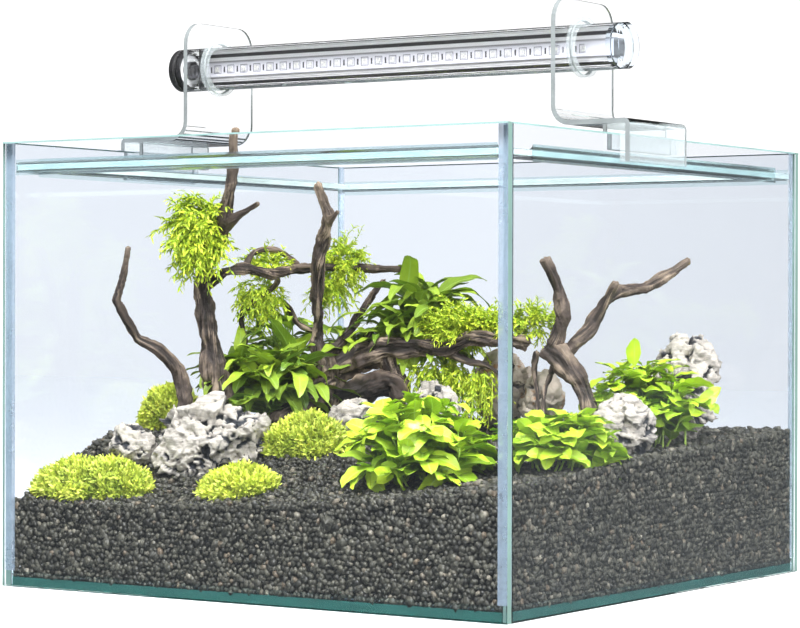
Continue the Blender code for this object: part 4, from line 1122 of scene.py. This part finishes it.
def build_strap_plants():
    """Long arching leaves that spring from the wood and from behind it."""
    material = leaf_material("strap_leaf", (0.50, 0.66, 0.05), (0.12, 0.22, 0.016),
                             (0.42, 0.62, 0.15), 40.0)
    for number, (name, plan) in enumerate(STRAP_PLANTS.items()):
        add_scape(name + "_arching", strap_bunch(*box_arrays(name)[:2], *plan, 600 + number),
                  material, (name,))
    bunches = [strap_bunch(np.array(centre) - half, np.array(centre) + half, *plan, 1.5, 0.9,
                           640 + number)
               for number, (centre, half, *plan) in enumerate(LEAF_BUNCHES)]
    add_scape("leaves_among_wood", joined(bunches), material)


# ---- clear parts -----------------------------------------------------------------------
def edge_material(name, tone, scale):
    """A sawn and ground edge: dense colour with faint lengthwise streaks under a polish."""
    return two_toned(name, scale, scale * 12, 0.2, (0.25, 0.5), tone, toned(tone, 1.35),
                     (0.2, 0.0003), Coat_Weight=0.5)


def glaze(node, face, edge, is_edge):
    """A sheet whose broad faces are clear and whose cut edges are dense."""
    mesh = frame["nodes"][node].data.copy()
    mesh.materials.clear()
    for material in (face, edge):
        mesh.materials.append(material)
    for polygon in mesh.polygons:
        polygon.material_index = int(is_edge(polygon.normal, polygon.center))
    piece = link(bpy.data.objects.new(node + "_sheet", mesh))
    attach(piece, BODY_OF[node])
    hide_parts(node)


def clear_material(name, colour, roughness, ior, haze_scale):
    """Clear glass or plastic with a faint uneven tint."""
    material, tree, shader, mottle = mottled(name, haze_scale, haze_scale * 8, 0.3)
    tone = mix_colour(tree, times(tree, mottle["Mask"], 0.25), colour, toned(colour, 0.93))
    feed(tree, shader, Base_Color=tone, IOR=ior, Transmission_Weight=1.0,
         Roughness=span(tree, mottle["Mask"], 0.0, 1.0, roughness, roughness * 1.6))
    let_lamps_through(tree, shader)
    return material


def cloudy_material(name, slow, fine, first, second, low, high):
    """Soft milky plastic or silicone that lets part of the view through."""
    material, tree, shader, mottle = mottled(name, slow, fine, 0.3, (0.2, 0.35))
    feed(tree, shader, Alpha=span(tree, mottle["Mask"], 0.0, 1.0, low, high),
         Base_Color=mix_colour(tree, mottle["Mask"], first, second))
    let_lamps_through(tree, shader)
    return material


ARRIS = 0.0016              # height of the ground line along each pane's top
ARRIS_PROUD = 0.0002
SHOULDER = 0.03             # the holder's plate is all edge above this height over its liner
BOX_FACES = ((0, 1, 3, 2), (4, 6, 7, 5), (0, 4, 5, 1), (2, 3, 7, 6), (0, 2, 6, 4), (1, 5, 7, 3))


def finish_glass(look):
    """The panes and the brace strips, with their silicone."""
    pane = clear_material("pane_glass", look.face, 0.0, 1.52, 3.0)
    strip = clear_material("strip_glass", (0.93, 0.97, 0.97), 0.0, 1.52, 5.0)
    wall_edge = edge_material("wall_edge", look.edge, 14.0)
    floor_edge = edge_material("floor_edge", look.floor, 14.0)
    strip_edge = edge_material("strip_edge", look.rim, 20.0)
    for node, axis in PANE_AXES.items():
        way = "XYZ".index(axis)
        edge = strip_edge if "brace" in node else floor_edge if "bottom" in node else wall_edge
        glaze(node, strip if "brace" in node else pane, edge,
              lambda normal, centre: abs(normal[way]) < 0.6)
    silicone = clear_material("clear_silicone", look.silicone, 0.12, 1.18, 25.0)
    cloudy = cloudy_material("corner_silicone", 20.0, 300.0, (0.30, 0.38, 0.46),
                             (0.36, 0.44, 0.52), 0.42, 0.56)
    for node in frame["nodes"]:
        if "seal" in node:
            finish_node(node, cloudy if "corner" in node else silicone)


def finish_holders(look):
    """The holders with their liners and bushes, and the clear tube and cap of the lamp."""
    plate = clear_material("holder_acrylic", look.acrylic, 0.0, 1.45, 8.0)
    plate_edge = edge_material("holder_edge", (0.19, 0.21, 0.215), 30.0)
    soft = cloudy_material("soft_liner", 30.0, 400.0, (0.62, 0.68, 0.69), (0.52, 0.58, 0.60),
                           0.22, 0.30)
    for side in ("left", "right"):
        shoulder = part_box(f"saddle_liner_{side}")[1][2] + SHOULDER
        glaze(f"holder_{side}", plate, plate_edge,
              lambda normal, centre: abs(normal[1]) > 0.5
              or (abs(normal[0]) < 0.5 and centre[2] > shoulder))
        glaze(f"inner_lip_{side}", plate, plate_edge,
              lambda normal, centre: abs(normal[0]) < 0.5)
        for node in ("saddle_liner_", "tube_bush_"):
            finish_node(node + side, soft)
    finish_node("lamp_tube", clear_material("tube_acrylic", look.acrylic, 0.01, 1.16, 9.0))
    finish_node("end_cap_right", clear_material("cap_acrylic", (0.86, 0.92, 0.97), 0.02, 1.06,
                                                30.0))


def add_rim_lines():
    """The ground line along each pane's top edge."""
    rim_line = edge_material("rim_line", (0.20, 0.32, 0.31), 20.0)
    for side, way, sign in WALLS:
        low, high = box_arrays(f"{side}_pane")[:2]
        low[2] = high[2] - ARRIS
        face = (high if sign > 0 else low)[way]
        low[way], high[way] = sorted((face, face + sign * ARRIS_PROUD))
        add_piece(f"arris_{side}", list(product(*zip(low, high))), BOX_FACES, rim_line, (),
                  smooth=False)


# ---- lamp ------------------------------------------------------------------------------
CHIP_PITCH = 0.0175
CHIP_SIZE = 0.0050
CHIP_PROUD = 0.0011
FIRST_CHIP = 0.9
BLANK_END = 2 * CHIP_PITCH
CAP_SIDES = 96

# The left cap's section as (x, radius) points; the ring after PALE_STEP is pale.
LEFT_CAP = ((-0.2620, 0.0060), (-0.2775, 0.0060), (-0.2780, 0.0066), (-0.2780, 0.0200),
            (-0.2775, 0.0218), (-0.2762, 0.0228), (-0.2722, 0.0230), (-0.2720, 0.0200),
            (-0.2645, 0.0200), (-0.2640, 0.0195), (-0.2640, 0.0178), (-0.2662, 0.0176),
            (-0.2662, 0.0106), (-0.2625, 0.0104), (-0.2620, 0.0100))
PALE_STEP = 11

# What the polished trough mirrors, painted into its colour as a painted reflection, as (share of
# its height, grey).
PAINTED_REFLECTION_TONES = ((0.0, 0.02), (0.03, 0.03), (0.05, 0.50), (0.10, 0.48), (0.115, 0.012),
                (0.21, 0.025), (0.23, 0.60), (0.30, 0.56), (0.32, 0.14), (0.38, 0.22),
                (0.62, 0.16), (0.69, 0.36), (0.71, 0.95), (0.77, 0.92), (0.785, 0.04),
                (0.865, 0.08), (0.885, 0.98), (0.97, 0.95), (1.0, 0.40))


def turn_left_cap(black, centre):
    """A shallow turned cap with a recess for the lead and a pale ring on its inner face."""
    pale = two_toned("pale_moulding", 60.0, 700.0, 0.2, (0.3, 0.5), (0.80, 0.81, 0.82),
                     (0.70, 0.71, 0.73))
    turn = np.arange(CAP_SIDES) * math.tau / CAP_SIDES
    verts = [(x, centre[1] + r * math.cos(a), centre[2] + r * math.sin(a))
             for x, r in LEFT_CAP for a in turn]
    index = np.arange(len(verts)).reshape(len(LEFT_CAP), CAP_SIDES)
    after, below = np.roll(index, -1, axis=1), np.roll(index, -1, axis=0)
    faces = np.stack([index, after, np.roll(below, -1, axis=1), below], axis=-1).reshape(-1, 4)
    piece = add_piece("end_cap_left_turned", verts, faces, black, ("end_cap_left",),
                      smooth=False, body="lamp")
    piece.data.materials.append(pale)
    for polygon in piece.data.polygons:
        polygon.material_index = int(polygon.index // CAP_SIDES == PALE_STEP)


def cut_bulkhead(black, centre):
    """A plate that closes the trough's end as far as the trough's own front edges."""
    low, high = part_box("reflector_bulkhead")
    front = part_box("lamp_reflector")[0][1]
    radius = (high[2] - low[2]) / 2
    reach = math.acos((front - centre[1]) / radius)
    turn = np.linspace(-reach, reach, CAP_SIDES)
    rim = np.column_stack([centre[1] + radius * np.cos(turn), centre[2] + radius * np.sin(turn)])
    rim = np.vstack([rim, [[(front + high[1]) / 2, centre[2]]]])
    verts = np.vstack([np.column_stack([np.full(len(rim), x), rim]) for x in (low[0], high[0])])
    start = CAP_SIDES + 1
    faces = []
    for k in range(CAP_SIDES):
        after = (k + 1) % CAP_SIDES
        faces += [(k, after, start - 1), (start + after, start + k, 2 * start - 1),
                  (k, start + k, start + after), (k, start + after, after)]
    add_piece("reflector_end_plate", verts, faces, black, ("reflector_bulkhead",),
              smooth=False, body="lamp")


def finish_reflector(centre, radius):
    material, tree, shader = new_material("reflector_painted_reflections")
    parts = add_node(tree, "ShaderNodeSeparateXYZ", None, Vector=object_place(tree)).outputs
    height = span(tree, parts["Z"], centre[2] - radius, centre[2] + radius)
    # Painted reflection: grey bands by height stand in for what the trough mirrors.
    painted_reflection_bands = ramp(tree, height, [(place, (tone, tone, tone * (1.02 if 0 < place < 1 else 1)))
                                for place, tone in PAINTED_REFLECTION_TONES])
    brush = add_node(tree, "ShaderNodeMapping", None, Vector=object_place(tree),
                     Scale=(0.4, 30.0, 30.0)).outputs[0]
    streak = noise(tree, brush, 40.0, 3.0)
    feed(tree, shader, Metallic=0.35, Roughness=span(tree, streak, *NOISE_RANGE, 0.16, 0.26),
         Base_Color=mix_colour(tree, span(tree, streak, *NOISE_RANGE, 0.0, 0.05), painted_reflection_bands,
                               (0.4, 0.4, 0.42)))
    finish_node("lamp_reflector", material)


def finish_board():
    """The board's printed outlines and traces round its chips, with a blank right end."""
    material, tree, shader = new_material("led_board")
    low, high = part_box("led_board")
    parts = add_node(tree, "ShaderNodeSeparateXYZ", None, Vector=object_place(tree)).outputs
    ripple = noise(tree, object_place(tree), 420.0, 2.0)

    def compare(operation, first, second):
        return maths(tree, operation, first, second)

    along = compare('DIVIDE', less(tree, parts["X"], low[0]), CHIP_PITCH)
    share = maths(tree, 'FRACT', less(tree, along, FIRST_CHIP - 0.5))
    aside = times(tree, maths(tree, 'ABSOLUTE', less(tree, share, 0.5)), CHIP_PITCH)
    level = maths(tree, 'ABSOLUTE', less(tree, parts["Z"], (low[2] + high[2]) / 2))
    far = compare('MAXIMUM', aside, level)
    outline = times(tree, compare('GREATER_THAN', far, CHIP_SIZE * 0.80),
                    compare('LESS_THAN', far, CHIP_SIZE * 0.92))
    wavy = compare('ADD', aside, times(tree, ripple, 0.0012))
    trace = times(tree, compare('GREATER_THAN', wavy, CHIP_PITCH * 0.5 - 0.0004),
                  compare('LESS_THAN', level, CHIP_SIZE * 0.62))
    drawn = times(tree, compare('MAXIMUM', outline, trace),
                  compare('LESS_THAN', parts["X"], high[0] - BLANK_END))
    base = mix_colour(tree, drawn, (0.44, 0.44, 0.48), (0.045, 0.045, 0.05))
    chip = mix_colour(tree, span(tree, ripple, 0.4, 0.6), (0.34, 0.34, 0.36), (0.54, 0.53, 0.48))
    proud = compare('LESS_THAN', parts["Y"], low[1] + CHIP_PROUD)
    feed(tree, shader, Base_Color=mix_colour(tree, proud, base, chip),
         Roughness=span(tree, ripple, *NOISE_RANGE, 0.3, 0.5))
    finish_node("led_board", material)


def dark_material(name, tone, rough):
    return two_toned(name, 60.0, 900.0, 0.2, rough, tone, toned(tone, 1.8), (0.15, 0.0003))


def finish_lamp():
    centre, half = box_arrays("lamp_tube")[2:]
    finish_reflector(centre, half[2])
    finish_board()
    black = dark_material("moulded_black", (0.012, 0.012, 0.013), (0.22, 0.42))
    finish_node("power_inlet", black)
    turn_left_cap(black, centre)
    cut_bulkhead(black, centre)
    finish_node("cap_gasket_left", dark_material("gasket_rubber", (0.02, 0.02, 0.021),
                                                 (0.6, 0.8)))


# ---- stage -----------------------------------------------------------------------------
CAMERA_PLACE = (1.57348, -2.3885, 0.28431)
CAMERA_YAW, CAMERA_PITCH, CAMERA_ROLL = (math.radians(a) for a in (33.6242, -0.1625, 0.1196))
CAMERA_LENS = 123.11
FLOOR_REACH = 6.0
FLOOR_GAP = 0.0006
AIM = (0, 0, 0.2)
KEY_PLACE, KEY_SIZE = (0.45, -1.15, 2.25), 0.7
FILL_PLACE, FILL_SIZE, FILL_SHARE = (1.9, -0.5, 1.2), 1.4, 0.4


def build_camera():
    data = bpy.data.cameras.new("camera")
    data.lens, data.sensor_width, data.clip_end = CAMERA_LENS, 36.0, 60.0
    camera = link(bpy.data.objects.new("camera", data))
    yaw, pitch, roll = CAMERA_YAW, CAMERA_PITCH, CAMERA_ROLL
    ahead = Vector((-math.sin(yaw) * math.cos(pitch), math.cos(yaw) * math.cos(pitch),
                    math.sin(pitch)))
    level = Vector((math.cos(yaw), math.sin(yaw), 0))
    upright = level.cross(ahead)
    right = level * math.cos(roll) + upright * math.sin(roll)
    top = -level * math.sin(roll) + upright * math.cos(roll)
    camera.matrix_world = Matrix([(right[k], top[k], -ahead[k], CAMERA_PLACE[k])
                                  for k in range(3)] + [(0, 0, 0, 1)])
    bpy.context.scene.camera = camera


def build_room(look):
    """A white surround, dimmer where it only shows in the glass."""
    world = bpy.data.worlds.new("white_room")
    world.use_nodes = True
    tree = world.node_tree
    path = tree.nodes.new("ShaderNodeLightPath").outputs
    mirrored = mirrored_share(path)
    direct = maths(tree, 'LESS_THAN', path["Diffuse Depth"], 0.5)
    strength = times(tree, span(tree, direct, 0.0, 1.0, look.surround, look.backdrop),
                     less(tree, 1.0, mirrored))
    strength = maths(tree, 'ADD', times(tree, mirrored, look.mirrored), strength)
    feed(tree, tree.nodes["Background"], Color=(1.0, 1.0, 1.0), Strength=strength)
    bpy.context.scene.world = world


def build_floor():
    mesh = bpy.data.meshes.new("floor")
    mesh.from_pydata([(x * FLOOR_REACH, y * FLOOR_REACH, -FLOOR_GAP)
                      for x, y in ((-1, -1), (1, -1), (1, 1), (-1, 1))], [], [(0, 1, 2, 3)])
    material, tree, shader = new_material("pale_floor")
    grain = noise(tree, object_place(tree), 30.0)
    pale = mix_colour(tree, grain, (0.90, 0.90, 0.905), (0.92, 0.92, 0.92))
    mirrored = mirrored_share(tree.nodes.new("ShaderNodeLightPath").outputs)
    feed(tree, shader, Base_Color=mix_colour(tree, mirrored, pale, (0.06, 0.065, 0.07)),
         Roughness=0.9, Specular_IOR_Level=0.0, Emission_Color=(0.85, 0.95, 1.0),
         Emission_Strength=0.12)
    mesh.materials.append(material)
    floor = link(bpy.data.objects.new("floor", mesh))


def build_stage(look):
    bpy.context.scene.view_settings.view_transform = 'Standard'
    build_room(look)
    build_floor()
    for name, place, size, power in (
            ("key", KEY_PLACE, KEY_SIZE, look.key_power),
            ("fill", FILL_PLACE, FILL_SIZE, look.key_power * FILL_SHARE)):
        data = bpy.data.lights.new(name, 'AREA')
        data.size, data.energy = size, power
        lamp = link(bpy.data.objects.new(name, data))
        lamp.location = place
        away = Vector(place) - Vector(AIM)
        lamp.rotation_euler = away.to_track_quat('Z', 'Y').to_euler()
    build_camera()


# ---- operators and panel ---------------------------------------------------------------
class AQUARIUM_OT_groups(bpy.types.Operator):
    """Make the shared shader groups"""
    bl_idname = "aquarium.groups"
    bl_label = "Shader Groups"

    def execute(self, context):
        mottle_group()
        return {'FINISHED'}


class AQUARIUM_OT_stage(bpy.types.Operator):
    """Set the floor, the light and the camera"""
    bl_idname = "aquarium.stage"
    bl_label = "Stage"

    def execute(self, context):
        build_stage(settings("stage"))
        return {'FINISHED'}


class AQUARIUM_OT_clear(bpy.types.Operator):
    """Finish the glass, silicone, holders and tube"""
    bl_idname = "aquarium.clear_parts"
    bl_label = "Clear Parts"

    def execute(self, context):
        finish_glass(settings("glass"))
        finish_holders(settings("glass"))
        add_rim_lines()
        return {'FINISHED'}


class AQUARIUM_OT_lamp(bpy.types.Operator):
    """Finish the reflector, the LED board and the black fittings"""
    bl_idname = "aquarium.lamp"
    bl_label = "Lamp"

    def execute(self, context):
        finish_lamp()
        return {'FINISHED'}


class AQUARIUM_OT_gravel(bpy.types.Operator):
    """Lay the pebbles over the gravel bed"""
    bl_idname = "aquarium.gravel"
    bl_label = "Gravel"

    def execute(self, context):
        build_gravel(settings("gravel"))
        return {'FINISHED'}


class AQUARIUM_OT_rocks(bpy.types.Operator):
    """Carve the grey and brown stones"""
    bl_idname = "aquarium.rocks"
    bl_label = "Stones"

    def execute(self, context):
        build_rocks(settings("scape"))
        return {'FINISHED'}


class AQUARIUM_OT_wood(bpy.types.Operator):
    """Carve the driftwood"""
    bl_idname = "aquarium.wood"
    bl_label = "Driftwood"

    def execute(self, context):
        build_wood(settings("scape"))
        return {'FINISHED'}


class AQUARIUM_OT_moss(bpy.types.Operator):
    """Grow the moss cushions and the fronds on the wood"""
    bl_idname = "aquarium.moss"
    bl_label = "Moss"

    def execute(self, context):
        build_cushions(settings("scape"))
        build_fronds(settings("scape"))
        return {'FINISHED'}


class AQUARIUM_OT_leaves(bpy.types.Operator):
    """Grow the broad and the strap-leaved plants"""
    bl_idname = "aquarium.leaves"
    bl_label = "Leafy Plants"

    def execute(self, context):
        build_broad_plants(settings("scape"))
        build_strap_plants()
        return {'FINISHED'}


STEPS = (AQUARIUM_OT_groups, AQUARIUM_OT_stage, AQUARIUM_OT_clear, AQUARIUM_OT_lamp,
         AQUARIUM_OT_gravel, AQUARIUM_OT_rocks, AQUARIUM_OT_wood, AQUARIUM_OT_moss,
         AQUARIUM_OT_leaves)
GROUPS = {"glass": GlassSettings, "gravel": GravelSettings, "scape": ScapeSettings,
          "stage": StageSettings}


class AQUARIUM_PT_panel(bpy.types.Panel):
    """Sizes, colours and steps of the aquarium"""
    bl_idname = "AQUARIUM_PT_panel"
    bl_label = "Aquarium"
    bl_space_type = 'VIEW_3D'
    bl_region_type = 'UI'
    bl_category = "Aquarium"

    def draw(self, context):
        for name, group in GROUPS.items():
            box = self.layout.box()
            box.label(text=name.title())
            for label in group.__annotations__:
                box.prop(getattr(context.scene, "aquarium_" + name), label)
        for step in STEPS:
            self.layout.operator(step.bl_idname)


def register():
    for group in (*GROUPS.values(), *STEPS, AQUARIUM_PT_panel):
        bpy.utils.register_class(group)
    for name, group in GROUPS.items():
        setattr(bpy.types.Scene, "aquarium_" + name, bpy.props.PointerProperty(type=group))


def unregister():
    for name in GROUPS:
        delattr(bpy.types.Scene, "aquarium_" + name)
    for group in reversed((*GROUPS.values(), *STEPS, AQUARIUM_PT_panel)):
        bpy.utils.unregister_class(group)


def main():
    register()
    for step in STEPS:
        family, action = step.bl_idname.split(".")
        getattr(getattr(bpy.ops, family), action)()


if __name__ == "__main__":
    main()
